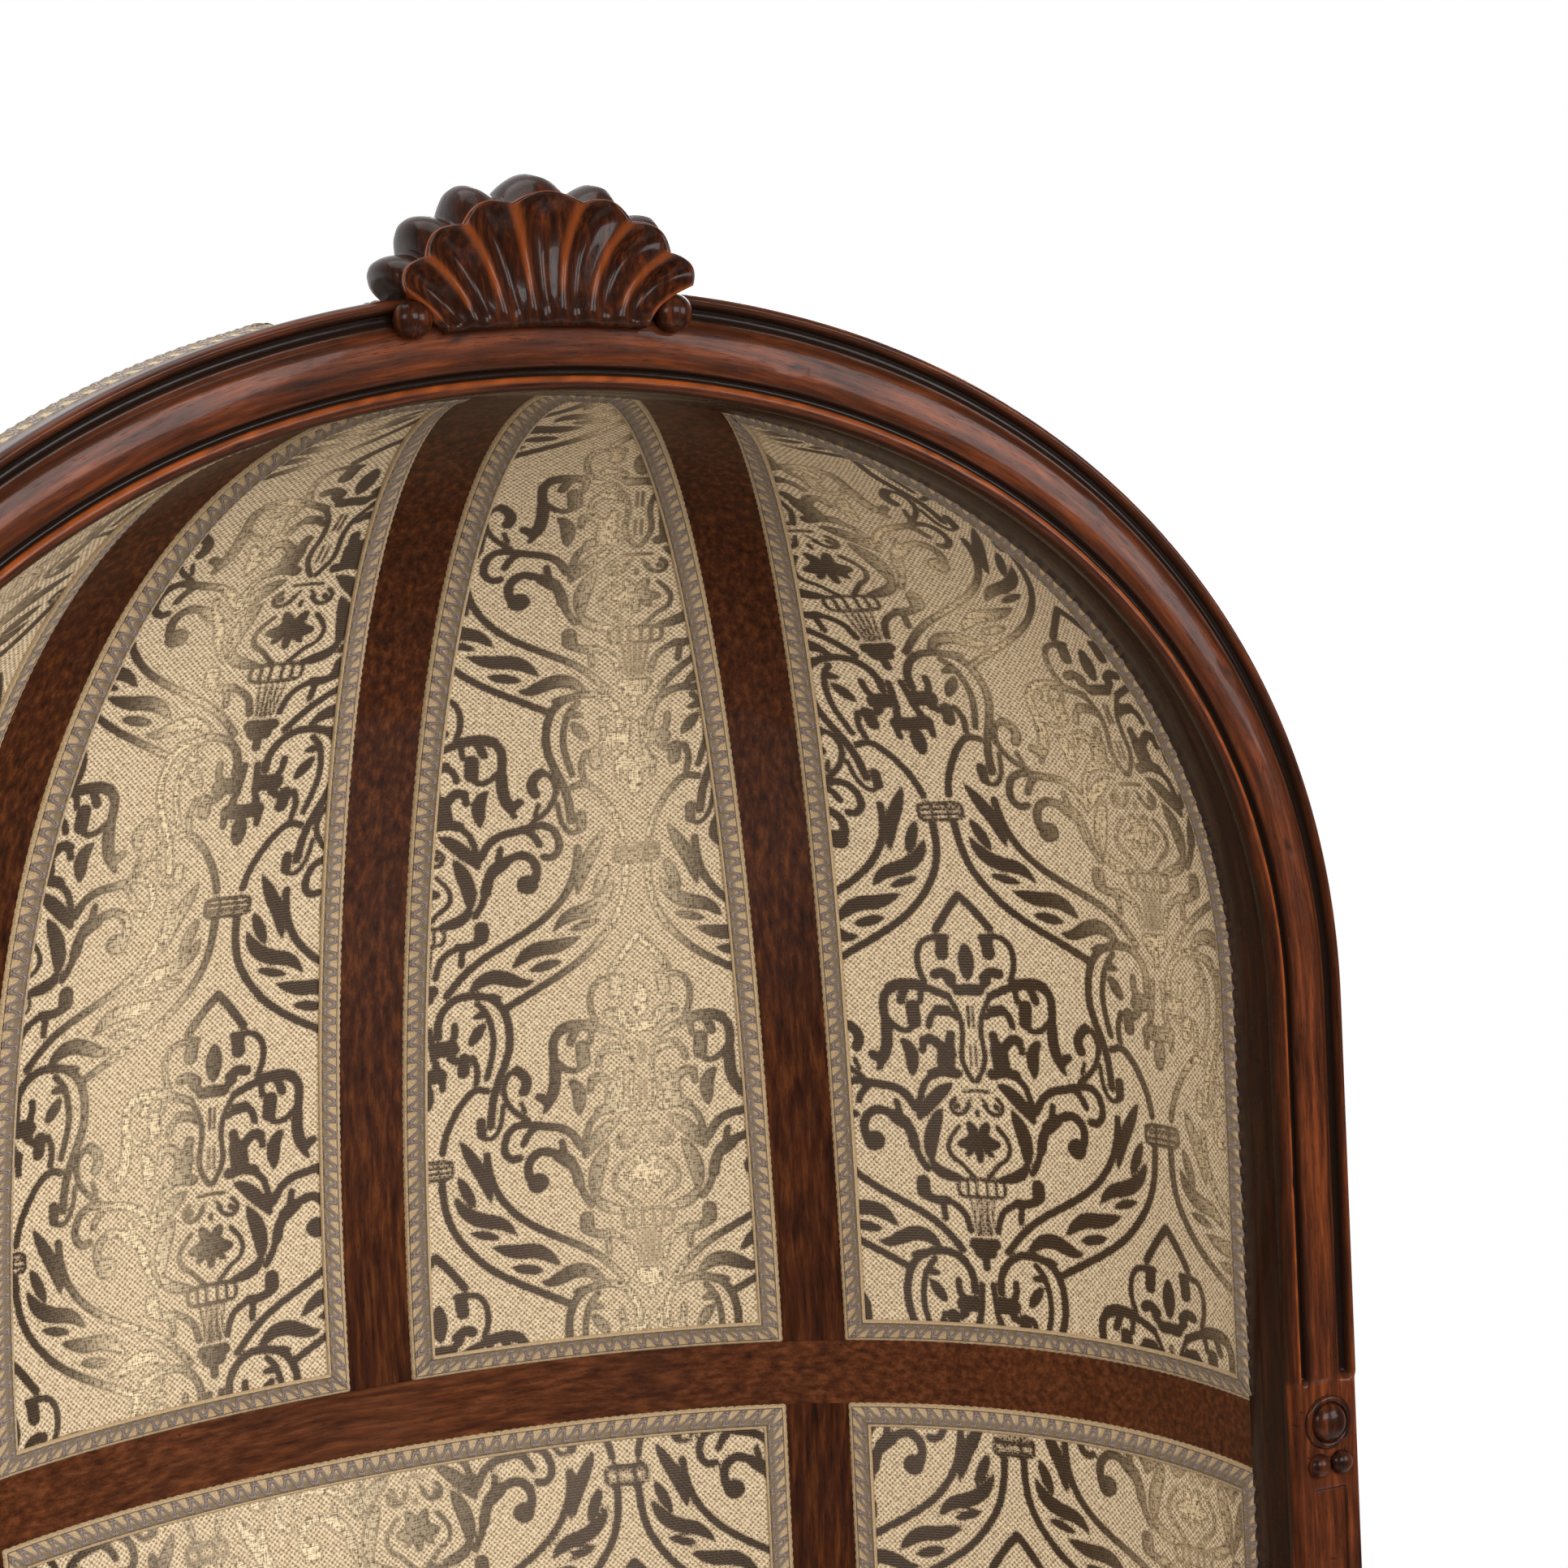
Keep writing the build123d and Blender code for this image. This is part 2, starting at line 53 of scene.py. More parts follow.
def add_node(tree, kind, sockets=(), stops=(), **settings):
    """Adds a shader node: its settings, its sockets' values or links, and a ramp's stops."""
    node = tree.nodes.new("ShaderNode" + kind)
    for name, value in settings.items():
        setattr(node, name, value)
    for socket, value in dict(sockets).items():
        if isinstance(value, bpy.types.NodeSocket):
            tree.links.new(value, node.inputs[socket])
        else:
            node.inputs[socket].default_value = value
    for number, (place, code) in enumerate(stops):
        elements = node.color_ramp.elements
        element = elements[number] if number < 2 else elements.new(place)
        element.position = place
        element.color = linear(code)
    return node


def calc(tree, operation, *values):
    """Result of a math node."""
    return add_node(tree, "Math", dict(enumerate(values)), operation=operation).outputs[0]


def remap(tree, value, low, high, to_low=0.0, to_high=1.0, kind="LINEAR"):
    """A value carried from one range to another and held at the ends."""
    return add_node(tree, "MapRange", {
        "Value": value, "From Min": low, "From Max": high, "To Min": to_low, "To Max": to_high},
        interpolation_type=kind).outputs[0]


def new_material(name):
    """An empty node material and its tree."""
    material = bpy.data.materials.new(name)
    material.use_nodes = True
    material.node_tree.nodes.clear()
    return material, material.node_tree


camera_place = Vector((-0.4977, -1.3322, 1.567))
camera_turn = 0.4364
camera_tip = -0.0868
camera_roll = -0.0545
flat = math.cos(camera_tip)
forward = Vector((math.sin(camera_turn) * flat, math.cos(camera_turn) * flat, math.sin(camera_tip)))
level = Vector((math.cos(camera_turn), -math.sin(camera_turn), 0))
rolled = level * math.cos(camera_roll) + level.cross(forward) * math.sin(camera_roll)
camera_data = bpy.data.cameras.new("studio_camera")
camera_data.sensor_width = 36
camera_data.lens = 72.09
camera = bpy.data.objects.new("studio_camera", camera_data)
turned = Matrix((rolled, rolled.cross(forward), -forward)).transposed().to_4x4()
camera.matrix_world = Matrix.Translation(camera_place) @ turned
bpy.context.scene.collection.objects.link(camera)
bpy.context.scene.camera = camera
bpy.context.scene.view_settings.view_transform = "Standard"

# Each lamp: its name, its place, the point it is turned to, its width in metres and its watts.
lamps = (
    ("front_softbox", (0.0, -3.3, 2.5), (0, 0, 1.35), 1.5, 82),
    ("side_softbox", (2.1, -2.6, 2.1), (0, 0, 1.3), 1.5, 70),
    ("left_softbox", (-2.7, -1.5, 2.4), (0, 0, 1.3), 1.1, 44),
    ("top_softbox", (-0.3, 0.2, 3.3), (0, 0, 1.2), 1.4, 22),
    ("rear_softbox", (1.8, 2.2, 2.2), (0, 0, 1.0), 1.6, 36),
)
for name, place, aim, size, power in lamps:
    lamp_data = bpy.data.lights.new(name, "AREA")
    lamp_data.size = size
    lamp_data.energy = power
    lamp = bpy.data.objects.new(name, lamp_data)
    away = Vector(place) - Vector(aim)
    lamp.matrix_world = Matrix.Translation(place) @ away.to_track_quat("Z", "Y").to_matrix().to_4x4()
    bpy.context.scene.collection.objects.link(lamp)

# Plain white to the camera. In reflections it is dark behind the camera, white behind the chair.
room_light = 0.36
room_mirrored_dark = 0.10
world = bpy.data.worlds.new("white_room")
bpy.context.scene.world = world
world.use_nodes = True
world.node_tree.nodes.clear()
room = world.node_tree
seen_by = add_node(room, "LightPath").outputs
view = add_node(room, "TexCoord").outputs["Generated"]
behind = add_node(room, "SeparateXYZ", {0: view}).outputs["Y"]
sweep = remap(room, behind, -0.1, 0.5, room_mirrored_dark, 1.0)
inside_room = add_node(room, "Mix", {"Factor": seen_by["Is Glossy Ray"], "A": room_light, "B": sweep})
straight = calc(room, "MAXIMUM", seen_by["Is Camera Ray"], seen_by["Is Transmission Ray"])
strength = add_node(room, "Mix", {"Factor": straight, "A": inside_room.outputs[0], "B": 1.0})
lit = add_node(room, "Background", {"Color": (1, 1, 1, 1), "Strength": strength.outputs[0]})
add_node(room, "OutputWorld", {"Surface": lit.outputs[0]})

# Matt off-white paper that fades out towards its rim, so that no edge of it is seen.
floor_radius = 2.4
floor_fade = 1.3
floor_height = -0.0005
bpy.ops.mesh.primitive_circle_add(
    vertices=96, radius=floor_radius, fill_type="NGON", location=(0, 0, floor_height))
floor = bpy.context.object
floor.name = "studio_floor"
paper, tree = new_material("seamless_paper")
spot = add_node(tree, "TexCoord").outputs["Object"]
apart = add_node(tree, "VectorMath", {0: spot}, operation="LENGTH")
fade = remap(tree, apart.outputs["Value"], floor_fade, floor_radius)
matt = add_node(tree, "BsdfDiffuse", {"Color": linear("#f2f0ec")})
clear = add_node(tree, "BsdfTransparent")
edge = add_node(tree, "MixShader", {0: fade, 1: matt.outputs[0], 2: clear.outputs[0]})
add_node(tree, "OutputMaterial", {"Surface": edge.outputs[0]})
floor.data.materials.append(paper)
bpy.ops.object.select_all(action="DESELECT")


# Mahogany: red-brown, open-pored wood, stained, glazed dark in the hollows and varnished, with painted shade
# in its deepest hollows and painted highlights along its edges.
# The grain runs with each member. Pores are drawn about twice as coarse as they are.
def attribute(tree, name, output="Fac"):
    """A value that a mesh carries for each of its points."""
    return add_node(tree, "Attribute", attribute_name=name).outputs[output]


def stretched(tree, vector, scale):
    """Coordinates scaled on each axis."""
    return add_node(tree, "Mapping", {"Vector": vector, "Scale": scale}).outputs[0]


def noise(tree, vector, scale, detail, roughness=0.5, output="Fac"):
    """Cloudy noise."""
    return add_node(tree, "TexNoise", {
        "Vector": vector, "Scale": scale, "Detail": detail, "Roughness": roughness}).outputs[output]


def blend(tree, factor, low, high):
    """A mix of two colours, each a hex code or a socket."""
    low, high = (linear(colour) if isinstance(colour, str) else colour for colour in (low, high))
    return add_node(tree, "Mix", {"Factor": factor, "A": low, "B": high}, data_type="RGBA").outputs["Result"]


def mahogany(name, dark, middle, light, along, gloss, source=None):
    """Varnished mahogany: bands of three browns, dark pores, cloudy stain, a soft sheen.

    along gives the grain's direction as the stretch of each axis. source is the attribute that
    carries a bent member's own coordinates. The piece's "glaze" darkens it, as dark glaze and painted
    shade, and its "wear" reddens it, as rubbed varnish and a painted highlight.
    """
    material, tree = new_material(name)
    start = attribute(tree, source, "Vector") if source else add_node(tree, "TexCoord").outputs["Object"]
    waver = noise(tree, start, 7.0, 2.0, output="Color")
    wander = add_node(tree, "VectorMath", {0: waver, "Scale": 0.012}, operation="SCALE")
    bent = add_node(tree, "VectorMath", {0: start, 1: wander.outputs[0]}, operation="ADD")
    bands = noise(tree, stretched(tree, bent.outputs[0], along), 1.0, 7.0, 0.62)
    ramp = add_node(tree, "ValToRGB", {"Fac": bands}, stops=((0.30, dark), (0.72, light), (0.50, middle)))
    pores = noise(tree, stretched(tree, start, [6.0 * v for v in along]), 1.0, 3.0, 0.55)
    pits = remap(tree, pores, 0.60, 0.72)
    colour = blend(tree, pits, ramp.outputs[0], "#180b07")
    cloud = noise(tree, start, 16.0, 5.0, 0.6)
    stain = remap(tree, cloud, 0.46, 0.78, 0.0, 0.35)
    colour = blend(tree, stain, colour, "#1b0d09")
    # Dark glaze in the hollows, with painted shade in the quirks and on the frame's inner return; then a
    # redder rubbed varnish with a painted highlight along beads and ridges.
    colour = blend(tree, attribute(tree, "glaze_and_shade"), colour, "#1a100b")
    colour = blend(tree, attribute(tree, "wear_and_highlight"), colour, "#a8521f")
    dull = remap(tree, cloud, 0.35, 0.7, gloss, gloss + 0.14)
    relief = add_node(tree, "Bump", {"Height": pits, "Strength": 0.25, "Distance": 0.0003}, invert=True)
    slow = noise(tree, start, 55.0, 2.0)
    rubbing = add_node(tree, "Bump", {
        "Height": slow, "Strength": 0.35, "Distance": 0.0012, "Normal": relief.outputs[0]})
    surface = add_node(tree, "BsdfPrincipled", {
        "Base Color": colour, "Roughness": dull, "Normal": rubbing.outputs[0],
        "IOR": 1.16, "Coat Weight": 0.13, "Coat Roughness": 0.05, "Coat IOR": 1.42})
    add_node(tree, "OutputMaterial", {"Surface": surface.outputs[0]})
    return material


# The frame is the reddest, the carving the darkest, the ribs duller and the rails a little greyer.
upright_grain = (300.0, 300.0, 22.0)
cross_grain = (22.0, 300.0, 300.0)
side_grain = (300.0, 22.0, 300.0)
member_grain = (20.0, 280.0, 280.0)
rail_browns = ("#2f170d", "#4f2a16", "#6f3f23")
frame_mahogany = mahogany(
    "polished_mahogany", "#26120b", "#4b2412", "#74391b", member_grain, 0.20, source="grain")
carved_mahogany = mahogany("carved_mahogany", "#160a06", "#2f160c", "#5a2a12", upright_grain, 0.20)
rib_mahogany = mahogany("rib_mahogany", "#1e0e07", "#3f1f0f", "#633619", upright_grain, 0.28)
rail_mahogany = mahogany("rail_mahogany", *rail_browns, cross_grain, 0.28)
side_mahogany = mahogany("side_rail_mahogany", *rail_browns, side_grain, 0.28)


def finish_nodes(material, *names):
    """Gives solids that stay as they are their finish."""
    for name in names:
        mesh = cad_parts[name].data
        mesh.materials.clear()
        mesh.materials.append(material)


finish_nodes(rib_mahogany, "centre_rib", "canopy_rib_right", "canopy_rib_left")
finish_nodes(rib_mahogany, "wall_post_right", "wall_post_left")
finish_nodes(rail_mahogany, "shoulder_rail", "back_seat_rail", "front_seat_rail")
finish_nodes(side_mahogany, "arm_rail_right", "arm_rail_left", "side_seat_rail_right", "side_seat_rail_left")
finish_nodes(carved_mahogany, "arm_support_right", "arm_support_left")


# Arched frame: two stiles and a crown of moulded mahogany in one sweep, 42 mm deep.
# The section is a bead, a quirk, a rounded shoulder, a broad face, a quirk and an inner bead.
# It widens from 39.5 mm at the stiles to 45.7 mm at the crown, so it is lofted here.
half_width = 405.0
crown_height = 1670.0
arch_height = 360.0
arch_power = 2.084
spring_height = crown_height - arch_height
stile_width = 39.5
crown_width = 45.7
frame_depth = 42.0
seat_rail_bottom = 310.0
front_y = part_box("arch_crown")[0].y


def placed(points):
    """Points in mm before the arch's front plane, as metres in the part's frame."""
    return np.asarray(points, float) * 0.001 + np.array((0.0, front_y, 0.0))


def build(name, points, faces, material, body="chair"):
    """A smooth-shaded closed piece from points and faces, turned to face outwards."""
    counts = [len(block) for block in faces]
    widths = [block.shape[1] for block in faces]
    corners = np.concatenate([block.ravel() for block in faces]).astype(np.int32)
    volume = 0.0
    for block in faces:
        for k in range(1, block.shape[1] - 1):
            a, b, c = points[block[:, 0]], points[block[:, k]], points[block[:, k + 1]]
            volume += float(np.einsum("ij,ij->i", a, np.cross(b, c)).sum())
    mesh = bpy.data.meshes.new(name)
    mesh.vertices.add(len(points))
    mesh.vertices.foreach_set("co", np.asarray(points, np.float32).ravel())
    mesh.loops.add(len(corners))
    mesh.polygons.add(sum(counts))
    totals = np.concatenate([np.full(n, w) for n, w in zip(counts, widths)])
    starts = np.concatenate([[0], np.cumsum(totals)[:-1]])
    mesh.loops.foreach_set("vertex_index", corners)
    mesh.polygons.foreach_set("loop_start", starts.astype(np.int32))
    mesh.polygons.foreach_set("loop_total", totals.astype(np.int32))
    mesh.update(calc_edges=True)
    if volume < 0:
        mesh.flip_normals()
    mesh.polygons.foreach_set("use_smooth", np.ones(sum(counts), bool))
    mesh.materials.append(material)
    piece = bpy.data.objects.new(name, mesh)
    bpy.context.scene.collection.objects.link(piece)
    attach(piece, body)
    return piece


def mark(piece, name, values):
    """Stores one number or one vector for each point of a piece."""
    values = np.asarray(values, np.float32)
    kind = "FLOAT" if values.ndim == 1 else "FLOAT_VECTOR"
    layer = piece.data.attributes.new(name, kind, "POINT")
    layer.data.foreach_set("value" if values.ndim == 1 else "vector", values.ravel())


def grid_faces(across, along, closed=False):
    """Quads of a grid of points, row after row. closed joins each row's ends."""
    i, j = np.meshgrid(np.arange(along - 1), np.arange(across if closed else across - 1), indexing="ij")
    k = (j + 1) % across
    low, high = i * across, (i + 1) * across
    return np.stack([low + j, low + k, high + k, high + j], -1).reshape(-1, 4)


def quarter(power, t):
    """Shares of a superellipse's quarter, drawn as one cubic curve, at t."""
    k = (8 * 2 ** (-1 / power) - 4) / 3
    across = (1 - t) ** 3 + 3 * (1 - t) ** 2 * t + 3 * (1 - t) * t ** 2 * k
    along = 3 * (1 - t) ** 2 * t * k + 3 * (1 - t) * t ** 2 + t ** 3
    return across, along


def running(line):
    """Running length along a line of points, the line being the first axis."""
    return np.concatenate([[0], np.cumsum(np.linalg.norm(np.diff(line, axis=0), axis=1))])


# The moulding from its outer edge to its inner one and round the back: share of the width, depth
# behind the front plane in mm, and how dark it is drawn there: dark glaze in the hollows, with
# painted shade in the quirks and on the inner return.
moulding = np.array((
    (0.000, 7.0, 0.5), (0.004, 4.6, 0.35), (0.018, 2.4, 0.3), (0.045, 0.8, 0.25), (0.075, 0.5, 0.25),
    (0.100, 1.2, 0.4), (0.120, 3.0, 0.7), (0.130, 5.0, 1.0), (0.150, 6.0, 1.0), (0.205, 6.0, 1.0),
    (0.228, 4.8, 0.95), (0.240, 3.9, 0.8), (0.255, 3.5, 0.7), (0.270, 3.7, 0.9), (0.290, 2.6, 0.6),
    (0.320, 1.3, 0.5), (0.355, 0.5, 0.35), (0.390, 0.15, 0.15), (0.450, -0.3, 0.0), (0.520, -0.6, 0.0),
    (0.590, -0.7, 0.0), (0.660, -0.5, 0.1), (0.720, -0.1, 0.3), (0.755, 0.4, 0.55), (0.770, 1.3, 0.8),
    (0.780, 3.4, 1.0), (0.800, 4.2, 1.0), (0.835, 4.2, 1.0), (0.850, 3.0, 0.9), (0.865, 1.2, 0.5),
    (0.890, 0.4, 0.3), (0.925, 0.2, 0.25), (0.960, 0.8, 0.4), (0.985, 2.4, 0.6), (1.000, 5.0, 0.7),
    (1.000, 9.0, 0.85), (0.992, 10.0, 0.9), (0.992, 11.0, 0.9), (1.000, 12.0, 0.85),
    (1.000, 26.0, 0.75), (1.000, 41.0, 0.8), (0.98, 42.0, 0.7), (0.50, 42.0, 0.3), (0.02, 42.0, 0.3),
    (0.000, 41.0, 0.3), (0.000, 24.0, 0.3),
))
back_start = 35
face_middle = 20
front_depth = 8.0
carving_height = 1083.0
carve_high = carving_height + 34.0
carve_low = carving_height - 76.0
arm_socket = 692.0
carve_margin = 8
stops = (seat_rail_bottom, arm_socket, carve_low - carve_margin, carve_high + carve_margin, spring_height)
span_steps = (40, 40, 116, 30)
stile_steps = [np.linspace(*span) for span in zip(stops, stops[1:], span_steps)]
arch_steps = 100
share, depth, glaze_and_shade = moulding.T
rows = []
for z in np.unique(np.round(np.concatenate(stile_steps), 3)):
    rows.append(np.stack([half_width - stile_width * share, np.full_like(share, z)], -1))
for t in np.linspace(0, 1, arch_steps)[1:]:
    x, rise = quarter(arch_power, t)
    rows.append(np.stack([(half_width - stile_width * share) * x,
                          spring_height + (arch_height - crown_width * share) * rise], -1))
rows = np.array(rows)
rows = np.concatenate([rows, rows[-2::-1] * (-1, 1)])
heights = rows[:, face_middle, 1]

# The stiles are moulded from the arm's socket up and left plain, with rounded corners, below it and
# in the carved block, whose sunk field lies 2.6 mm deep.
sunk_depth = 2.6
corner_share = 0.44
worked = np.clip((heights - carve_high) / 3, 0, 1) + np.clip((carve_low - heights) / 3, 0, 1)
worked *= np.where(heights < arm_socket, 0.0, 1.0)
is_front = (depth < front_depth) & (np.arange(len(depth)) < back_start)
plain = 5.0 * np.abs(share - 0.5).clip(corner_share) / 0.06 - 36.0
shaped = np.where(is_front, worked[:, None] * depth + (1 - worked[:, None]) * plain, depth)
sunk_low = carving_height - 70
sunk_high = carving_height - 20
sunk = np.clip((heights - sunk_low) / 1.5, 0, 1) * np.clip((sunk_high - heights) / 1.5, 0, 1)
sunk = sunk[:, None] * np.clip((0.26 - np.abs(share - 0.5)) / 0.03, 0, 1) * is_front
shaped = shaped + sunk * sunk_depth
# The rim of the sunk field is drawn darker, as glaze with painted shade in its step.
tint = np.where(is_front, worked[:, None] * glaze_and_shade, glaze_and_shade) + sunk * (1 - sunk) * 3.0
points = np.concatenate([rows[:, :, :1], shaped[:, :, None], rows[:, :, 1:]], -1)

# Forty-six small nicks, and a redder line along the inner bead and, less, the face's outer edge: varnish
# rubbed there, with a painted highlight.
chance = np.random.default_rng(4)
nick_count = 46
nick_depth = 0.8
count, ring = points.shape[:2]
for k in chance.integers(60, count - 60, nick_count):
    j = chance.integers(4, 33)
    points[k, j, 1] += nick_depth
    tint[k, j] += 0.9
caps = [np.arange(ring)[None, ::-1], np.arange(ring)[None] + (count - 1) * ring]
arched_frame = build("arched_frame", placed(points.reshape(-1, 3)),
                     [grid_faces(ring, count, closed=True)] + caps, frame_mahogany)
mark(arched_frame, "glaze_and_shade", np.clip(tint, 0, 1).ravel())
bead_wear_and_highlight = np.where((share > 0.86) & (share < 0.9) & is_front, 0.55, 0.0)
face_wear_and_highlight = np.where((share > 0.26) & (share < 0.3) & is_front, 0.12, 0.0)
wear_and_highlight = (bead_wear_and_highlight + face_wear_and_highlight)[None, :] * (0.35 + 0.65 * chance.random((count, 1))) * (worked[:, None] > 0.5)
mark(arched_frame, "wear_and_highlight", wear_and_highlight.ravel())
run = np.repeat(running(rows[:, face_middle]), ring)
mark(arched_frame, "grain", np.stack([run, np.tile(share * frame_depth, count), shaped.ravel()], -1) * 0.001)
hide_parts("arch_crown", "stile_right", "stile_left")


# Carved trefoils: a cabochon in a ring over two small beads, on each stile at the shoulder.
# They are turned and carved from the stile's own block and stand about 7 mm proud.
both_sides = ((1, "right"), (-1, "left"))


def domes(name, spots, stands_for):
    """Flattened balls and rings, each (x, y, z, radius, depth share, ring), joined in one piece."""
    bpy.ops.object.select_all(action="DESELECT")
    made = []
    for x, y, z, radius, flatness, ring in spots:
        place = placed((x, y, z))
        bpy.ops.mesh.primitive_uv_sphere_add(
            segments=40, ring_count=24, radius=radius * 0.001, location=place)
        bpy.ops.object.mode_set(mode="EDIT")
        bpy.ops.mesh.select_all(action="SELECT")
        bpy.ops.transform.resize(value=(1, flatness, 1), center_override=place)
        bpy.ops.object.mode_set(mode="OBJECT")
        bpy.ops.object.transform_apply(location=True, rotation=True, scale=True)
        made.append(bpy.context.object)
        if ring:
            bpy.ops.mesh.primitive_torus_add(
                major_segments=48, minor_segments=12, major_radius=(radius + ring) * 0.001,
                minor_radius=ring * 0.001, location=place, rotation=(math.pi / 2, 0, 0))
            bpy.ops.object.transform_apply(location=True, rotation=True, scale=True)
            made.append(bpy.context.object)
    bpy.ops.object.select_all(action="DESELECT")
    for piece in made:
        piece.select_set(True)
    bpy.context.view_layer.objects.active = made[0]
    bpy.ops.object.join()
    piece = bpy.context.object
    piece.name = name
    bpy.ops.object.transform_apply(location=True, rotation=True, scale=True)
    bpy.ops.object.shade_smooth()
    piece.data.materials.append(carved_mahogany)
    bpy.ops.object.select_all(action="DESELECT")
    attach(piece, "chair")
    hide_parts(stands_for)


cabochon_radius = 10.0
cabochon_ring = 1.9
small_radius = 6.6
stile_middle = half_width - stile_width / 2
for side, word in both_sides:
    x = side * stile_middle
    small_height = carving_height - 7.5
    domes("carved_trefoil_" + word, (
        (x, 0.5, carving_height + 14.0, cabochon_radius, 0.62, cabochon_ring),
        (x + small_radius, 0.5, small_height, small_radius - 0.3, 0.85, 0),
        (x - small_radius, 0.5, small_height, small_radius - 0.3, 0.85, 0)), "trefoil_" + word)


# Shell crest: a carved scallop of seven hollow flutes before a taller row of round lobes.
# One block of mahogany, glued and screwed over the crown, with a ball at each foot.
flute_count = 7
shell_points_per_flute = 16
shell_seat = 18.0
base_step = 13.2
base_hollow = 1.9
lobe_height = 5.2
lobe_depth = 4.6
ridge_tops = np.array(((-66.0, 15.5), (-56.5, 30.0), (-39.0, 43.5), (-16.5, 52.0)))
ridge_tops = np.concatenate([ridge_tops, ridge_tops[::-1] * (-1, 1)])
q = np.linspace(-flute_count / 2, flute_count / 2, flute_count * shell_points_per_flute + 1)
ridges = np.arange(flute_count + 1) - flute_count / 2
rim_x = np.interp(q, ridges, ridge_tops[:, 0])
rim_z = np.interp(q, ridges, ridge_tops[:, 1])
lobe = np.cos(math.pi * q) ** 2
fan = np.interp(q, ridges, ridges * 0.29) * 1.45
outward = np.stack([np.sin(fan), np.cos(fan)], -1)
base = np.stack([q * base_step, -shell_seat - (q * base_step / 45.0) ** 2 * base_hollow], -1)
rim = np.stack([rim_x, rim_z - shell_seat], -1) + outward * (np.sqrt(lobe) * lobe_height)[:, None]
swing = np.stack([base[:, 0] * 1.10, base[:, 1] * 0.35 + rim[:, 1] * 0.65], -1)

# From the seat up the front, over the rim and down the back: the share of the way to the rim, the
# depth in mm, how hollow the flutes are there in mm, and how far the back's lobes stand out.
profile = (
    (0.00, 1.0, 0.0, 0.0), (0.00, -5.0, 0.6, 0.0), (0.05, -8.0, 1.5, 0.0), (0.12, -8.5, 3.2, 0.0),
    (0.20, -8.0, 4.0, 0.0), (0.30, -7.6, 4.6, 0.0), (0.40, -7.6, 5.0, 0.0), (0.50, -8.0, 5.4, 0.0),
    (0.60, -8.8, 5.8, 0.0), (0.70, -10.0, 6.0, 0.0), (0.78, -11.2, 5.8, 0.0), (0.85, -12.4, 5.0, 0.0),
    (0.91, -13.4, 3.6, 0.0), (0.96, -14.2, 1.8, 0.0), (0.99, -14.4, 0.6, 0.0), (1.00, -13.4, 0.0, 0.0),
    (1.00, -12.2, 0.0, 0.0), (0.985, -10.6, 0.0, 0.0), (0.96, -9.4, 0.0, 0.1), (0.955, -8.0, 0.0, 0.25),
    (0.98, -6.0, -0.5, 0.5), (1.04, -3.0, -1.0, 0.8), (1.09, 1.0, -1.0, 1.0), (1.125, 6.0, 0.0, 1.0),
    (1.14, 12.0, 0.0, 1.0), (1.13, 18.0, 0.0, 1.0), (1.09, 24.0, 0.0, 0.9), (1.02, 29.0, 0.0, 0.8),
    (0.90, 33.0, 0.0, 0.6), (0.70, 35.0, 0.0, 0.3), (0.45, 36.0, 0.0, 0.1), (0.20, 36.0, 0.0, 0.0),
    (0.00, 36.0, 0.0, 0.0),
)
shell_rows, shell_glaze_and_shade, shell_wear_and_highlight = [], [], []
for r, y, hollow, round_out in profile:
    r2 = min(r, 1.0)
    place = base * (1 - r2) ** 2 + swing * 2 * r2 * (1 - r2) + rim * r2 ** 2
    place = place + (rim - base) * (max(r, 1.0) - 1.0)
    place = place + outward * ((np.sqrt(lobe) - 0.55) * lobe_depth * round_out)[:, None]
    shell_rows.append(np.stack([place[:, 0], y + hollow * lobe, place[:, 1] + crown_height], -1))
    # The front is darker at its foot on the crown and towards the rim, and the back all over: glaze with
    # painted shade.
    front_glaze_and_shade = np.clip(0.55 - r * 0.8, 0, 1) + np.clip((r - 0.72) * 1.6, 0, 0.4)
    shell_glaze_and_shade.append(np.full_like(q, 0.78 if round_out > 0.05 else front_glaze_and_shade))
    # Redder along the flutes' ridges and at the rim: rubbed wear with a painted highlight.
    on_ridge = np.clip(1 - lobe * 6, 0, 1) * (0.25 < r < 0.97)
    on_rim = 0.9 if -14.3 < y < -12.0 and r > 0.98 else 0.0
    shell_wear_and_highlight.append(np.clip(on_ridge * 0.30 + on_rim * 0.6, 0, 1))
shell_points = np.array(shell_rows)
levels, across = shell_points.shape[:2]
k, last = np.arange(across - 1), (levels - 1) * across
shut = np.stack([last + k, last + k + 1, k + 1, k], -1)
ends = [np.arange(levels)[None] * across, np.arange(levels)[None, ::-1] * across + across - 1]
shell = build("shell_crest_carving", placed(shell_points.reshape(-1, 3)),
              [grid_faces(across, levels), shut] + ends, carved_mahogany)
mark(shell, "glaze_and_shade", np.clip(np.array(shell_glaze_and_shade).ravel() * 0.7, 0, 1))
mark(shell, "wear_and_highlight", np.array(shell_wear_and_highlight).ravel())
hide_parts("shell_crest")
ball_out = 60.5
ball_drop = 13.5
ball_radius = 8.6
domes("shell_foot_balls", [
    (x, -3.0, crown_height - ball_drop, ball_radius, 0.95, 0) for x in (ball_out, -ball_out)], "shell_crest")


# Damask: a two-tone jacquard of beige ground and dark metallic figure, woven in a half drop.
# The figure is a traditional urn and scroll design inside leafy ogee bands, drawn here as strokes
# of its right half in units of 1.3 mm: the axis is at 0 and the urn's foot at height 0.
figure_scale = 1.3
pattern_width = 93.0
pattern_height = 270.0
cell = 0.5
stroke_reach = 9
unworked = -6.0

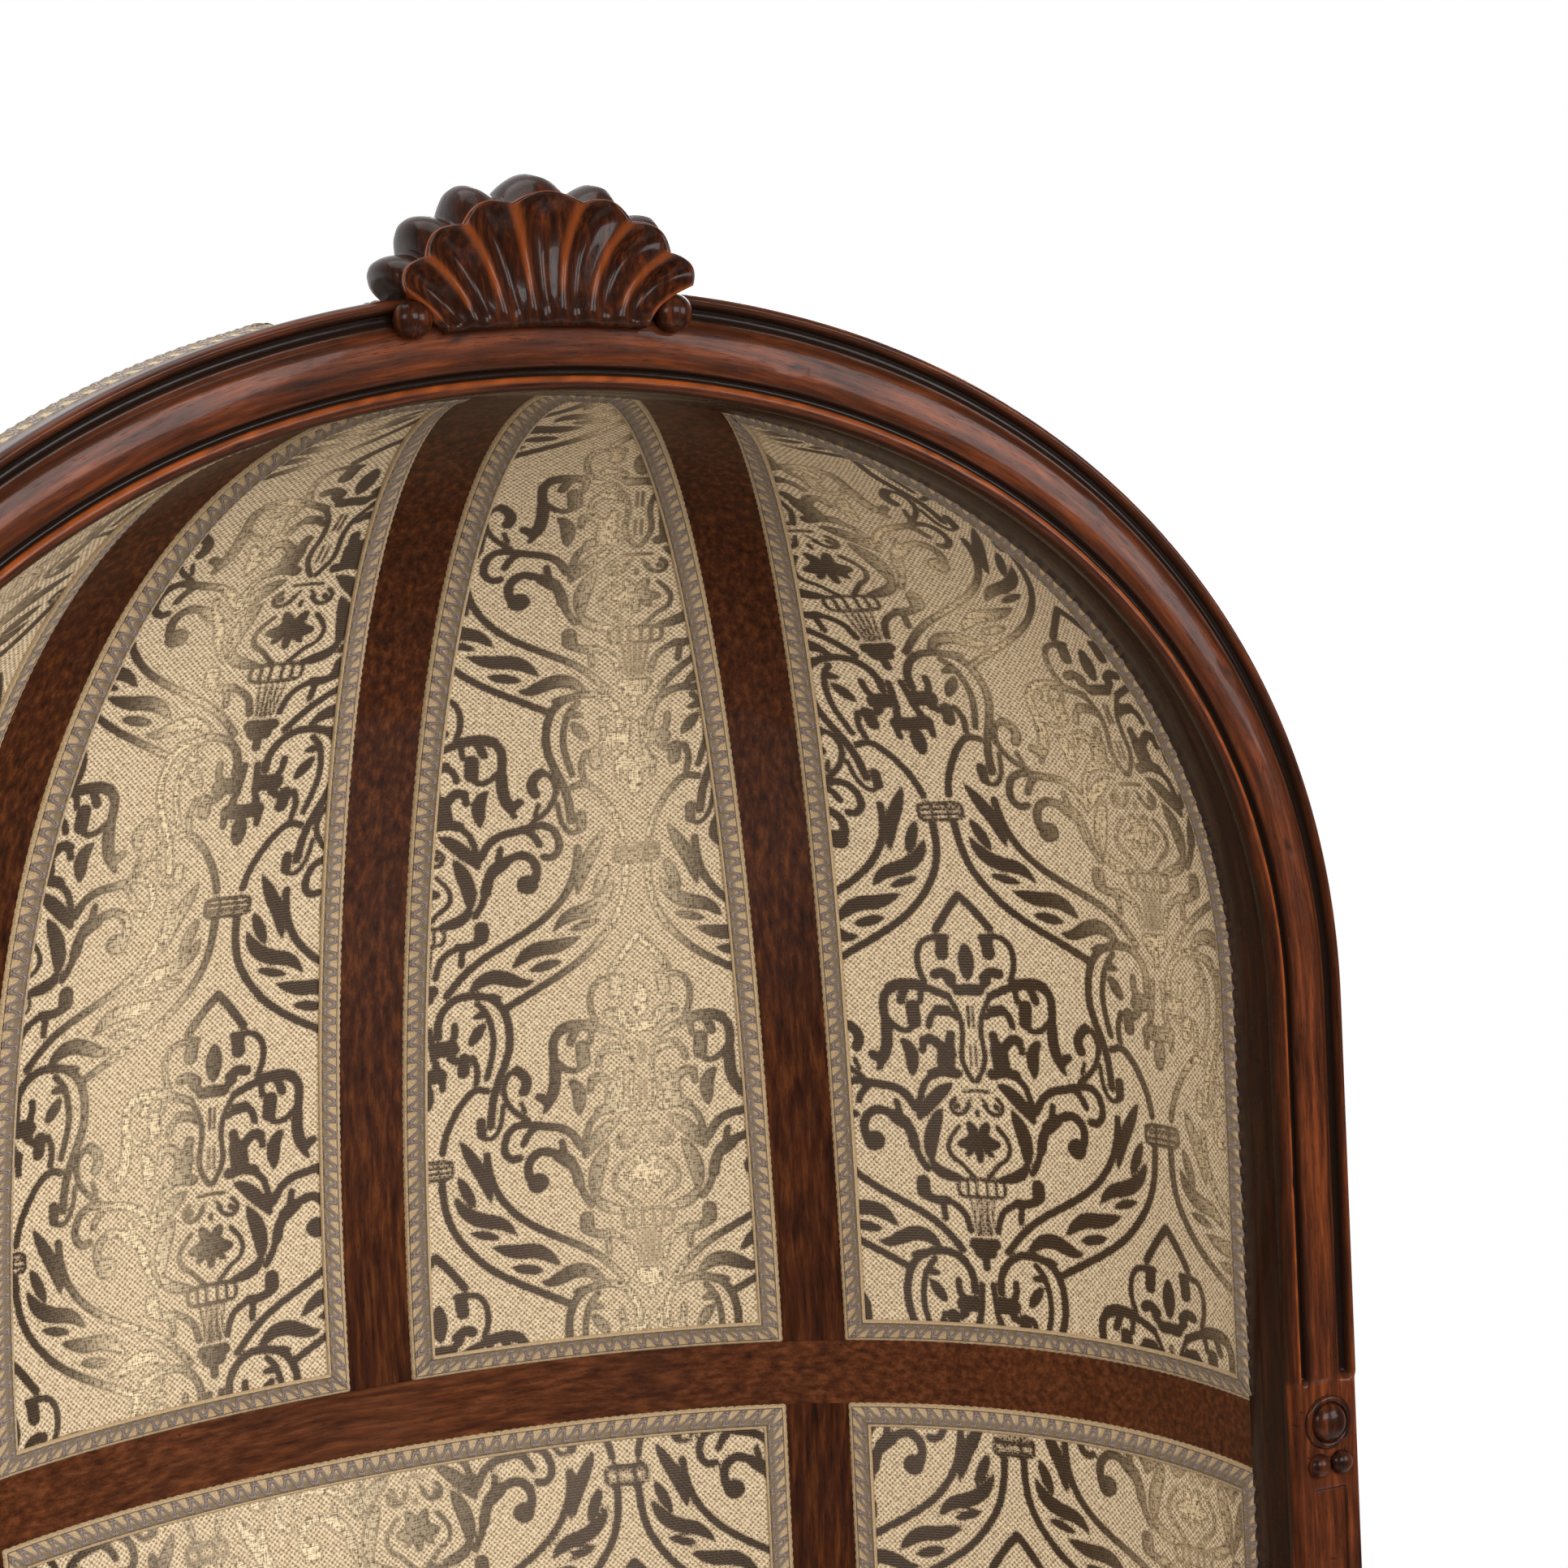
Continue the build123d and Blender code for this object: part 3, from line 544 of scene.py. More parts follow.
# Each stroke: its thickness, then x and y of each of its points. A stroke of negative thickness is
# a leaf, which swells and tapers along its whole line.
strokes = (
    (3.7, 0, 162.6, 5.1, 157, 11.9, 147.6),
    (2.8, 7.5, 144.2, 16.6, 144.2, 20.3, 140.4, 21.6, 134.5, 20.8, 128.7, 19.2, 125.4),
    (5.8, 9.8, 142.4, 10.4, 136.8), (-7.2, 0, 141.6, 0, 125), (4.6, 7.2, 126.4, 10.5, 129, 14.2, 128),
    (5.2, 0, 121.2, 4.5, 121), (3.6, 4.5, 121, 8.8, 124.8), (3.6, 9.6, 118.4, 14.3, 120.6, 20.4, 122.9),
    (5.0, 20.4, 122.9, 25.2, 124, 30.7, 124.2, 34.5, 122.4),
    (4.0, 34.5, 122.4, 37.7, 118.8, 38, 113, 37.4, 106), (5.2, 37.4, 106, 37.6, 99, 39, 93.5, 41, 91),
    (4.0, 41, 91, 44.6, 93.4), (2.6, 39.5, 91, 42.4, 87), (2.8, 21, 121, 21.8, 116),
    (3.8, 28, 122, 30.4, 116.6), (6.2, 25.3, 114, 25, 107.5),
    (2.8, 25.2, 105.8, 28.5, 103.2, 32.7, 104.4, 36, 108),
    (2.4, 8.7, 117.1, 6.2, 113, 4.4, 107.8, 4.1, 100.8, 5.3, 93.8, 5, 89.2, 2.8, 84.5, 0.9, 81.6),
    (1.2, 1, 114, 1, 105), (1.1, 1.2, 97, 1.2, 88), (3.0, 6.8, 109.5, 10.3, 112),
    (4.8, 10.3, 112, 14.4, 112.4), (3.2, 14.4, 112.4, 17.6, 110, 18.8, 105.6),
    (4.2, 9.6, 101.5, 10.6, 96), (8.2, 11.8, 94.6, 12.6, 89), (4.8, 8, 84.6, 14, 86, 19, 84.4),
    (3.0, 19, 84.4, 23.3, 79.6), (4.4, 14.8, 96.6, 18.2, 100.4, 21.6, 99), (3.2, 21.6, 99, 22.5, 94.6),
    (-6.0, 32, 100.2, 28.6, 97, 27.2, 92.5, 27.6, 88, 27.8, 83),
    (2.6, 49.9, 83.6, 55.5, 87.4, 59.4, 93.8, 60.1, 99.6, 58, 104.6, 53.7, 106.9),
    (4.6, 53.7, 106.4, 50.4, 103.6, 49.6, 99.6, 51.2, 96.6), (2.2, 52.5, 91.5, 51, 87),
    (1.6, 0, 77.4, 5.8, 77), (3.0, 23.3, 79.6, 25.4, 73.5, 26, 65.3),
    (-6.2, 9.6, 80.7, 15, 77.5, 19.6, 73.2, 23, 69.4, 25.6, 64.5),
    (-6.8, 15.6, 70, 19.2, 63.4, 21.5, 57.2, 22.4, 51.3, 21.9, 44.6),
    (-5.2, 22.6, 48.6, 21, 43.8, 17.6, 41.2, 13, 39.7, 7.6, 39.2),
    (2.1, 3.4, 71.1, 6.2, 67.4, 10.4, 66.8, 12.4, 71.1, 9.4, 74), (2.4, 8.6, 70.8, 9.4, 70.2),
    (1.4, 2.2, 74, 4.6, 71.6),
    (2.2, 8.7, 61.8, 12.7, 57.2, 14.6, 52.5, 12.6, 47.9, 8.7, 45.8, 5.5, 42, 3.2, 39.9),
    (6.6, 0, 55.6, 3.4, 55.2), (-5.4, 0, 55, 10, 54), (-4.8, 0.6, 56, 4.6, 64), (4.0, 0, 52, 0, 50),
    (-3.6, 0, 52, 0, 45.6), (2.2, 0, 68.6, 0, 66.8), (-3.0, 2, 53, 6.6, 48.6),
    (3.8, 27.7, 69.4, 31, 75.8, 36.5, 79, 42.5, 79.9, 47.4, 81),
    (3.4, 47.4, 81, 53.5, 82.2, 58.2, 79.9, 60.7, 74.6, 60.7, 69.4, 57.3, 66.2, 54.2, 67.2),
    (3.2, 47, 80, 50.4, 77, 52.4, 73), (3.2, 24.1, 42.9, 27.1, 47.3, 29.1, 53.1),
    (4.8, 29.1, 53.1, 30.2, 58.9, 32.8, 63.6), (6.0, 32.8, 63, 37, 66),
    (4.0, 37, 66.4, 41.5, 68.5, 45.7, 69.1, 49.5, 66.2, 51.2, 61.8, 50.3, 57.2),
    (8.6, 46.4, 55.2, 47.2, 54.8), (3.0, 35.8, 72.4, 34.6, 66),
    (1.7, 0, 38.8, 9, 38.8, 10.8, 37, 10.8, 33, 9, 31, 0, 31), (1.5, 2.4, 38, 2.4, 32),
    (1.5, 6.4, 38, 6.4, 32), (1.1, 0, 29, 0, 15), (1.1, 2.4, 29, 1.4, 15), (1.1, 5.2, 29, 3, 15),
    (5.2, 0, 10.6, 4.8, 10.8), (6.0, 0, 7.4, 2.4, 7.4), (3.6, 0, 5, 0, 0.6), (6.4, 26.6, 37, 26.5, 33),
    (4.0, 25.4, 31, 21.1, 29.2, 16.3, 29.4), (3.0, 16.3, 29.4, 11.4, 26.9, 8, 23.4, 6.3, 16.4),
    (3.0, 18.2, 28, 17.4, 21.4),
    (3.4, 10.5, 8, 18, 16.7, 26.2, 23.1, 35.5, 28.1, 44.8, 33, 54, 39.1, 60.3, 45.5, 65, 53,
     67.6, 61, 68.4, 70),
    (3.4, 35.1, -0.5, 46.4, 5.6, 55.6, 10.4, 64, 15.4, 72, 21.4, 78, 28, 82.6, 34.4, 86, 41.4,
     88, 50, 88.4, 60),
    (-6.6, 19.4, 7.6, 25.2, 13.2, 31.3, 15, 38.4, 12.4, 43.6, 9.9, 48.6, 11.4),
    (-3.0, 26.6, 6.7, 34.6, 4.6), (-6.8, 38.6, 17, 45, 23.4, 51, 25.6, 58, 25.4, 69, 29.2),
    (-4.6, 46, 15.8, 60.4, 18.9), (-6.6, 56.6, 32.4, 63, 39.3, 72.5, 41.2, 79.6, 45.7, 83.6, 54),
    (-3.8, 64, 32.4, 77.6, 36.4), (-6.0, 67.4, 48, 69.8, 59, 74, 67, 80, 78.4),
    (-5.0, 74.6, 46.8, 81.4, 62), (-3.4, 21, -3, 29, -1.5),
    (3.6, 6.2, -10, 6.2, -3.4, 9.8, 3.2, 15.5, 6.9, 22.6, 7.2, 29.8, 5.2, 34.8, -0.6, 36.9, -9.2,
     36.6, -18.3, 34.1, -25.7, 30.5, -34, 28, -42.2, 26.9, -52.2),
    (2.2, 32.6, -43.6, 31.4, -53, 27.3, -58.6, 23, -57), (4.4, 22.8, -50, 22.8, -55.6),
    (2.8, 23.4, 3.2, 27.3, -0.9, 29.4, -8.3, 29.9, -15.8, 28.4, -23.2, 26.2, -30.7),
    (-5.0, 26.2, -5.6, 19.2, -15.6), (5.4, 16.9, -21, 16.1, -27),
    (2.8, 20.5, -20.7, 22.6, -26.5, 21.4, -32.8),
    (3.2, 26, -36.4, 20.8, -34.8, 14.8, -40.6, 9.8, -48.8, 6.9, -55.5, 5.5, -62),
    (3.2, 13.4, -5.6, 13.4, -10, 11.4, -13.6), (7.4, 11.4, -15.8, 6.4, -15.6), (3.0, 2.6, -7, 3.8, -20),
    (3.6, 11, -20, 13.2, -21.6), (6.6, 0.6, -27.8, 6, -27.2), (3.4, 4.6, -22, 5.4, -26),
    (3.0, 7.4, -28, 7, -33.6), (-6.6, 0, -29, 0, -43),
    (1.7, 0, -65.6, 9.2, -65.6, 9.4, -69.5, 9.2, -73.4, 0, -73.4), (1.5, 0, -68.2, 8, -68.2),
    (1.5, 0, -70.8, 8, -70.8), (1.2, 3.4, -66, 3.4, -73),
)


def rounded(line):
    """A line with its corners cut twice."""
    for _ in range(2):
        cut = [line[0]]
        for (ax, ay), (bx, by) in zip(line[:-1], line[1:]):
            cut.append((0.75 * ax + 0.25 * bx, 0.75 * ay + 0.25 * by))
            cut.append((0.25 * ax + 0.75 * bx, 0.25 * ay + 0.75 * by))
        line = cut + [line[-1]]
    return line


def draw_figure():
    """Distance into the figure's strokes, over one repeat of the cloth's right half."""
    wide, tall = int(pattern_width / cell) + 1, int(pattern_height / cell)
    x = np.arange(wide) * cell
    inside = np.full((tall, wide), unworked)
    for thickness, *numbers in strokes:
        line = rounded(list(zip(numbers[::2], numbers[1::2])))
        steps = [math.dist(a, b) for a, b in zip(line[:-1], line[1:])]
        for number, ((ax, ay), (bx, by)) in enumerate(zip(line[:-1], line[1:])):
            left, right = min(ax, bx) - stroke_reach, max(ax, bx) + stroke_reach
            low, high = min(ay, by) - stroke_reach, max(ay, by) + stroke_reach
            columns = np.nonzero((x >= left) & (x <= right))[0]
            rows_at = np.arange(math.floor(low / cell), math.ceil(high / cell))
            px, py = np.meshgrid(x[columns], rows_at * cell)
            length = (bx - ax) ** 2 + (by - ay) ** 2
            t = np.clip(((px - ax) * (bx - ax) + (py - ay) * (by - ay)) / length, 0, 1)
            near = np.hypot(px - ax - t * (bx - ax), py - ay - t * (by - ay))
            block = np.ix_(rows_at % tall, columns)
            share = (sum(steps[:number]) + t * steps[number]) / sum(steps)
            half = abs(thickness) / 2 * (1.0 if thickness > 0 else 1 - np.abs(2 * share - 1) ** 2.5)
            inside[block] = np.maximum(inside[block], half - near)
    dropped = np.roll(inside[:, ::-1], tall // 2, axis=0)
    return np.maximum(inside, dropped)


figure_map = draw_figure()


def figure_at(u, v):
    """Distance into the figure at cloth coordinates in mm, by its mirrors and repeats."""
    u, v = u / figure_scale, v / figure_scale
    x = np.abs((u + pattern_width) % (2 * pattern_width) - pattern_width) / cell
    y = (v % pattern_height) / cell
    x0 = np.minimum(x.astype(int), figure_map.shape[1] - 2)
    y0 = y.astype(int) % figure_map.shape[0]
    y1 = (y0 + 1) % figure_map.shape[0]
    fx, fy = x - x0, y - np.floor(y)
    low = figure_map[y0, x0] * (1 - fx) + figure_map[y0, x0 + 1] * fx
    high = figure_map[y1, x0] * (1 - fx) + figure_map[y1, x0 + 1] * fx
    return (low * (1 - fy) + high * fy) * figure_scale


def damask(name, ground, pale, figure, painted_highlight, shine):
    """Jacquard cloth: plain-woven beige ground and a satin figure of dark thread.

    The weave is drawn with a period of 3 mm, coarser than it is, so that it can be seen. "figure"
    is the distance into the figure, "gleam" a painted highlight: bright bands painted on the figure
    where its metal thread would catch the lamps, and "warp" the direction of the warp threads, along
    which the figure shines.
    """
    weave_half_period = 1.5
    material, tree = new_material(name)
    cloth = attribute(tree, "cloth", "Vector")
    weft = noise(tree, stretched(tree, cloth, (0.25, 1.15, 1.0)), 1.0, 2.0)
    warp = noise(tree, stretched(tree, cloth, (1.15, 0.3, 1.0)), 1.0, 2.0)
    turn = add_node(tree, "VectorMath", {0: cloth, "Scale": math.pi / weave_half_period}, operation="SCALE")
    parts = add_node(tree, "SeparateXYZ", {0: turn.outputs[0]})
    over = calc(tree, "SINE", parts.outputs["X"])
    under = calc(tree, "SINE", parts.outputs["Y"])
    check = calc(tree, "MULTIPLY", over, under)
    floats = remap(tree, calc(tree, "MULTIPLY", under, under), 0.0, 1.0, 0.91, 1.0)
    threads = calc(tree, "ADD", weft, warp)
    weave = calc(tree, "MULTIPLY_ADD", check, 0.36, threads)
    base = blend(tree, remap(tree, weave, 0.60, 1.30), ground, pale)
    depth_in = attribute(tree, "figure")
    jag = calc(tree, "ADD", threads, -1.0)
    torn = calc(tree, "MULTIPLY_ADD", check, 0.45, depth_in)
    edge = calc(tree, "MULTIPLY_ADD", jag, 2.2, torn)
    mask = remap(tree, edge, -0.25, 0.35)
    drawn = calc(tree, "MULTIPLY", mask, floats)
    painted_band = attribute(tree, "painted_gleam")
    shown = calc(tree, "MULTIPLY", painted_band, remap(tree, threads, 0.80, 1.06, 0.15))
    painted_gleam = calc(tree, "MULTIPLY", shown, remap(tree, edge, 0.3, 1.7, 0.42, 1.0))
    figure_and_highlight = blend(tree, painted_gleam, figure, painted_highlight)
    metal = calc(tree, "MULTIPLY", drawn, remap(tree, painted_gleam, 0.0, 1.0, shine, 0.1))
    colour = blend(tree, drawn, base, figure_and_highlight)
    rough = remap(tree, mask, 0.0, 1.0, 0.92, 0.36)
    drawn_out = calc(tree, "MULTIPLY", mask, 0.85)
    warp_way = attribute(tree, "warp", "Vector")
    raised = calc(tree, "MULTIPLY_ADD", mask, -0.35, weave)
    firm = remap(tree, mask, 0.0, 1.0, 0.9, 0.12)
    relief = add_node(tree, "Bump", {"Height": raised, "Strength": firm, "Distance": 0.0006})
    surface = add_node(tree, "BsdfPrincipled", {
        "Base Color": colour, "Roughness": rough, "Metallic": metal, "Anisotropic": drawn_out,
        "Tangent": warp_way, "Normal": relief.outputs[0], "Sheen Weight": 0.06, "Sheen Roughness": 0.5})
    add_node(tree, "OutputMaterial", {"Surface": surface.outputs[0]})
    return material


# The cloth has kept its warm beige inside, and is paler and greyer outside.
inside_damask = damask("jacquard_damask_inside", "#7f6544", "#e9d3b0", "#38271a", "#efd7ae", 0.5)
outside_damask = damask("jacquard_damask_outside", "#968260", "#e9dcc3", "#3b2f25", "#eadcc0", 0.4)


# Scroll gimp: 12.5 mm woven braid glued over each panel's edge to hide the tacks.
# Two looped edge cords in beige hold a doubled taupe cord that winds with a 9.5 mm pitch.
gimp_width = 12.5
gimp_pitch = 9.5
gimp_step = 1.5


def gimp_weave(name, cord_colour, winding_colour):
    """Braid: beige edge cords, a split taupe cord that winds between them, painted shade in its open work, in
    the cord's split and beside the edge cords.
    """
    material, tree = new_material(name)
    braid = attribute(tree, "braid", "Vector")
    parts = add_node(tree, "SeparateXYZ", {0: braid})
    turn = calc(tree, "MULTIPLY", parts.outputs["X"], 2 * math.pi / gimp_pitch)
    path = remap(tree, calc(tree, "SINE", turn), -0.75, 0.75, 3.7, 9.3, "SMOOTHSTEP")
    away = calc(tree, "ABSOLUTE", calc(tree, "SUBTRACT", parts.outputs["Y"], path))
    slope = calc(tree, "ABSOLUTE", calc(tree, "COSINE", turn))
    near = calc(tree, "DIVIDE", away, calc(tree, "MULTIPLY_ADD", slope, 2.6, 0.9))
    cord = remap(tree, near, 1.15, 0.85)
    seat = calc(tree, "ABSOLUTE", calc(tree, "SUBTRACT", near, 0.4))
    split = remap(tree, seat, 0.06, 0.2)
    centre = calc(tree, "SUBTRACT", parts.outputs["Y"], gimp_width / 2)
    out = calc(tree, "ABSOLUTE", centre)
    within = remap(tree, out, 4.6, 4.1)
    winding = calc(tree, "MULTIPLY", cord, within)
    fuzz = noise(tree, braid, 1.6, 2.0)
    colour = blend(tree, remap(tree, fuzz, 0.3, 0.7), "#8f744c", cord_colour)
    colour = blend(tree, winding, colour, winding_colour)
    # Painted shade: dark in the split of the doubled cord, in the open work on its inner half, and in the
    # grooves beside the edge cords.
    split_dip_and_shade = calc(tree, "MULTIPLY", remap(tree, split, 0.0, 1.0, 0.6, 0.0), winding)
    colour = blend(tree, split_dip_and_shade, colour, "#2c2119")
    open_work = calc(tree, "SUBTRACT", within, winding)
    shaded_holes = calc(tree, "MULTIPLY", open_work, remap(tree, centre, -0.5, 1.5, 0.0, 0.6))
    colour = blend(tree, shaded_holes, colour, "#22190f")
    edge = remap(tree, out, 3.9, 4.5)
    shaded_groove = calc(tree, "MULTIPLY", edge, remap(tree, out, 4.9, 4.6))
    colour = blend(tree, shaded_groove, colour, "#4a3826")
    height = calc(tree, "MULTIPLY_ADD", fuzz, 0.5, winding)
    carved = calc(tree, "SUBTRACT", height, split_dip_and_shade)
    relief = add_node(tree, "Bump", {"Height": carved, "Strength": 1.0, "Distance": 0.0008})
    surface = add_node(tree, "BsdfPrincipled", {
        "Base Color": colour, "Roughness": 0.72, "Normal": relief.outputs[0],
        "Sheen Weight": 0.2, "Sheen Roughness": 0.4})
    add_node(tree, "OutputMaterial", {"Surface": surface.outputs[0]})
    return material


inside_gimp = gimp_weave("scroll_gimp_inside", "#cbb08a", "#8f7b6d")
outside_gimp = gimp_weave("scroll_gimp_outside", "#d3c1a0", "#9a897d")


def sample(grid, u, v):
    """Point of a grid at shares u and v, carried straight on past its edges."""
    i, j = np.asarray(u) * (grid.shape[0] - 1), np.asarray(v) * (grid.shape[1] - 1)
    i0 = np.clip(np.floor(i).astype(int), 0, grid.shape[0] - 2)
    j0 = np.clip(np.floor(j).astype(int), 0, grid.shape[1] - 2)
    a, b = (i - i0)[..., None], (j - j0)[..., None]
    low = grid[i0, j0] * (1 - a) + grid[i0 + 1, j0] * a
    high = grid[i0, j0 + 1] * (1 - a) + grid[i0 + 1, j0 + 1] * a
    return low * (1 - b) + high * b


def unit(vectors):
    """Vectors of length 1, along the last axis."""
    return vectors / np.maximum(np.linalg.norm(vectors, axis=-1, keepdims=True), 1e-9)


edge_fall = 14.0
edge_drop = 3.0
crown_reach = 60.0


def stuffing(near, crown):
    """How far a pad stands out at a distance from its edge, where its tacks draw it down."""
    t = np.clip(near / edge_fall, 0, 1)
    slow = np.clip(near / crown_reach, 0, 1)
    return -edge_drop * (1 - t) ** 2 + crown * (slow * (2 - slow))


def trim(name, grid, normal, run_u, run_v, crown, slot):
    """A closed ring of gimp round a panel, mitred at the corners.

    Its rows run from the panel's edge inwards: edge cords with a twist, the winding cord between
    them, small scallops along the outer edge, and a flat underside.
    """
    cord_inset, cord_width = 1.3, 1.1
    swing, lift = 2.8, 1.1
    wide_at, tall_at = run_u[-1], run_v[:, -1]
    edges = ((wide_at[0], tall_at), (tall_at[-1], wide_at), (wide_at[-1], tall_at), (tall_at[0], wide_at))
    w = np.linspace(0, gimp_width, 11)
    parts, run = [], 0.0
    for side, (length, spans) in enumerate(edges):
        count = max(2, int(round(length / gimp_step)))
        braid_length = max(1, round(length / gimp_pitch)) * gimp_pitch
        f = (np.arange(count) / count)[:, None]
        inset = np.minimum(w / length, 0.5)
        along = inset + (1 - 2 * inset) * (f if side < 2 else 1 - f)
        inset = np.minimum(w / np.interp(along, np.linspace(0, 1, len(spans)), spans), 0.5)
        cross = 1 - inset if side in (1, 2) else inset
        u, v = (along, cross) if side in (0, 2) else (cross, along)
        parts.append((u, v, run + f * braid_length + 0 * w))
        run += braid_length
    u, v, s = (np.concatenate(blocks) for blocks in zip(*parts))
    w = np.broadcast_to(w, u.shape)
    seat = stuffing(w, crown)
    turn = 2 * math.pi * s / gimp_pitch
    path = gimp_width / 2 + swing * np.clip(np.sin(turn) / 0.75, -1, 1)
    outer, inner = w - cord_inset, w - gimp_width + cord_inset
    beads = np.exp(-(outer / cord_width) ** 2) + np.exp(-(inner / cord_width) ** 2)
    twist = 0.75 + 0.25 * np.sin(2 * turn + w * 1.5)
    winding = np.exp(-((w - path) / (1.1 + 1.6 * np.abs(np.cos(turn)))) ** 2)
    height = lift + 1.1 * beads * twist + 0.9 * winding * (np.abs(w - gimp_width / 2) < 4.4)
    under, stand = sample(grid, u, v), sample(normal, u, v)
    outward = unit(under[:, 0] - under[:, 1])
    scallop = 0.7 * np.abs(np.sin(turn))[:, :1]
    top = under + stand * (seat + height)[..., None]
    top[:, 0] += outward * scallop
    lower = stand * (seat - 1.6)[..., None] + under
    foot = lower[:, [0]] + outward[:, None] * scallop[..., None]
    ring = np.concatenate([top, lower[:, [-1]], foot], axis=1)
    rows_count, ring_count = ring.shape[:2]
    last = (rows_count - 1) * ring_count
    k = np.arange(ring_count)
    k1 = (k + 1) % ring_count
    faces = np.concatenate([grid_faces(ring_count, rows_count, closed=True),
                            np.stack([last + k, last + k1, k1, k], -1)])
    material = inside_gimp if slot == "inside_damask" else outside_gimp
    piece = build(name, placed(ring.reshape(-1, 3)), [faces], material)
    s, w = (np.concatenate([part, part[:, [-1]], part[:, [0]]], axis=1) for part in (s, w))
    mark(piece, "braid", np.stack([s, w, 0 * w], -1).reshape(-1, 3))


# Canopy panels, inside and outside: damask over wadding between the ribs, edged with gimp.
# Each is one curved sheet that follows the dome from the shoulder rail to the arch.
back_depth = 343.0
wall_thickness = 43.0
plan_power = 2.165
back_rake = 50.0
seat_height = 400.0
shoulder_height = 1083.0
rail_half = 18.0
rib_half = 18.0
rib_spread = 78.0
rib_foot = 246.0
inside_thickness = 12.0
outside_thickness = 8.0
halvings = 44

# The panels' inner faces look to an upright line inside the chair: its place and its top.
heart_y = 60.0
heart_high = 1300.0

# A painted highlight band's width as a share of the panel's, and the height in mm where a leaning band has
# its given place. Every sixth point of the front's grid is one of the back's.
band_width = 0.15
band_height = 250.0
coarse = 6


def normals_of(grid, inward):
    """Unit normals of a grid, towards the inside of the chair or away from it."""
    normal = unit(np.cross(np.gradient(grid, axis=0), np.gradient(grid, axis=1)))
    centre = grid.shape[0] // 2, grid.shape[1] // 2
    middle = grid[centre]
    toward = np.array((0.0, heart_y, min(middle[2], heart_high))) - middle
    facing = np.sign(normal[centre] @ toward)
    return normal * (facing if inward else -facing)


def lengths(grid):
    """Running lengths over a grid, along its first axis and along its second."""
    along_u = np.linalg.norm(np.diff(grid, axis=0), axis=2)
    along_v = np.linalg.norm(np.diff(grid, axis=1), axis=2)
    run_u = np.concatenate([np.zeros((1, grid.shape[1])), np.cumsum(along_u, axis=0)])
    run_v = np.concatenate([np.zeros((grid.shape[0], 1)), np.cumsum(along_v, axis=1)], axis=1)
    return run_u, run_v


def quads(index):
    """Quads between the neighbours of a grid of point numbers."""
    return np.stack([index[:-1, :-1], index[1:, :-1], index[1:, 1:], index[:-1, 1:]], -1).reshape(-1, 4)


def border(index):
    """Point numbers round the edge of a grid."""
    return np.concatenate([index[:-1, 0], index[-1, :-1], index[:0:-1, -1], index[0, :0:-1]])


def pad(name, node, grid, inward, crown, place):
    """A stuffed panel over the structure: damask in front, closed behind, with its gimp.

    The back is a coarser grid, joined to the front by a skirt. place is the figure's shift across
    and up in mm, then the painted highlight band's share of the width and how much it leans.
    """
    normal = normals_of(grid, inward)
    run_u, run_v = lengths(grid)
    wide, tall = run_u[-1][None, :], run_v[:, -1][:, None]
    near = np.minimum(np.minimum(run_u, wide - run_u), np.minimum(run_v, tall - run_v))
    front = grid + normal * stuffing(near, crown)[..., None]
    back = (grid - normal * (inside_thickness if inward else outside_thickness))[::coarse, ::coarse]
    index = np.arange(grid[..., 0].size).reshape(grid.shape[:2])
    back_index = np.arange(back[..., 0].size).reshape(back.shape[:2]) + index.size
    loop, back_loop = border(index), border(back_index)
    skirt = []
    for k, here in enumerate(back_loop):
        there = back_loop[(k + 1) % len(back_loop)]
        for s in range(coarse):
            a, b = loop[k * coarse + s], loop[(k * coarse + s + 1) % len(loop)]
            skirt.append((b, a, here if s < coarse // 2 else there))
        skirt.append((loop[k * coarse + coarse // 2], here, there))
    points = np.concatenate([front.reshape(-1, 3), back.reshape(-1, 3)])
    slot = "inside_damask" if inward else "outside_damask"
    material = inside_damask if inward else outside_damask
    faces = [quads(index), quads(back_index)[:, [0, 3, 2, 1]], np.array(skirt)]
    piece = build(name, placed(points), faces, material)

    def whole(values):
        """Values for the points of the front and of the coarser back."""
        shape = (-1, *values.shape[2:])
        return np.concatenate([values.reshape(shape), values[::coarse, ::coarse].reshape(shape)])

    across, up, band, lean = place
    cloth = whole(np.stack([run_u - wide / 2 + across, run_v + up, np.zeros_like(run_u)], -1))
    mark(piece, "cloth", cloth)
    mark(piece, "figure", figure_at(cloth[:, 0], cloth[:, 1]))
    # Painted highlight: a bright band down the figure, where its metal thread would catch the lamps.
    beside = run_u / wide - band - (run_v - band_height) * lean
    mark(piece, "painted_gleam", whole((1.0 if inward else 0.5) * np.exp(-(beside / band_width) ** 2)))
    mark(piece, "warp", whole(unit(np.gradient(front, axis=1))))
    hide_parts(node)
    trim(name + "_gimp", grid, normal, run_u, run_v, crown, slot)


def plan_size(z, share):
    """Half width and depth of the wall's plan at height z; share 0 is inside and 1 outside."""
    half = half_width - stile_width * (1 - share)
    depth = back_depth - wall_thickness * (1 - share)
    crown = crown_height - crown_width * (1 - share)
    over = np.clip((z - spring_height) / (crown - spring_height), 0, 1)
    half = half * (1 - over ** arch_power) ** (1 / arch_power)
    dome = np.clip((z - shoulder_height) / (crown - shoulder_height), 0, 1)
    raked = depth - back_rake * (shoulder_height - z) / (shoulder_height - seat_height)
    return half, np.where(z > shoulder_height, depth * np.sqrt(1 - dome ** 2), raked)


def plan_point(z, share, t):
    """Point of the wall's plan at height z, a share t of the way from the arch to the middle."""
    half, depth = plan_size(z, share)
    across, along = quarter(plan_power, t)
    return np.stack(np.broadcast_arrays(half * across, frame_depth + depth * along, z), -1)


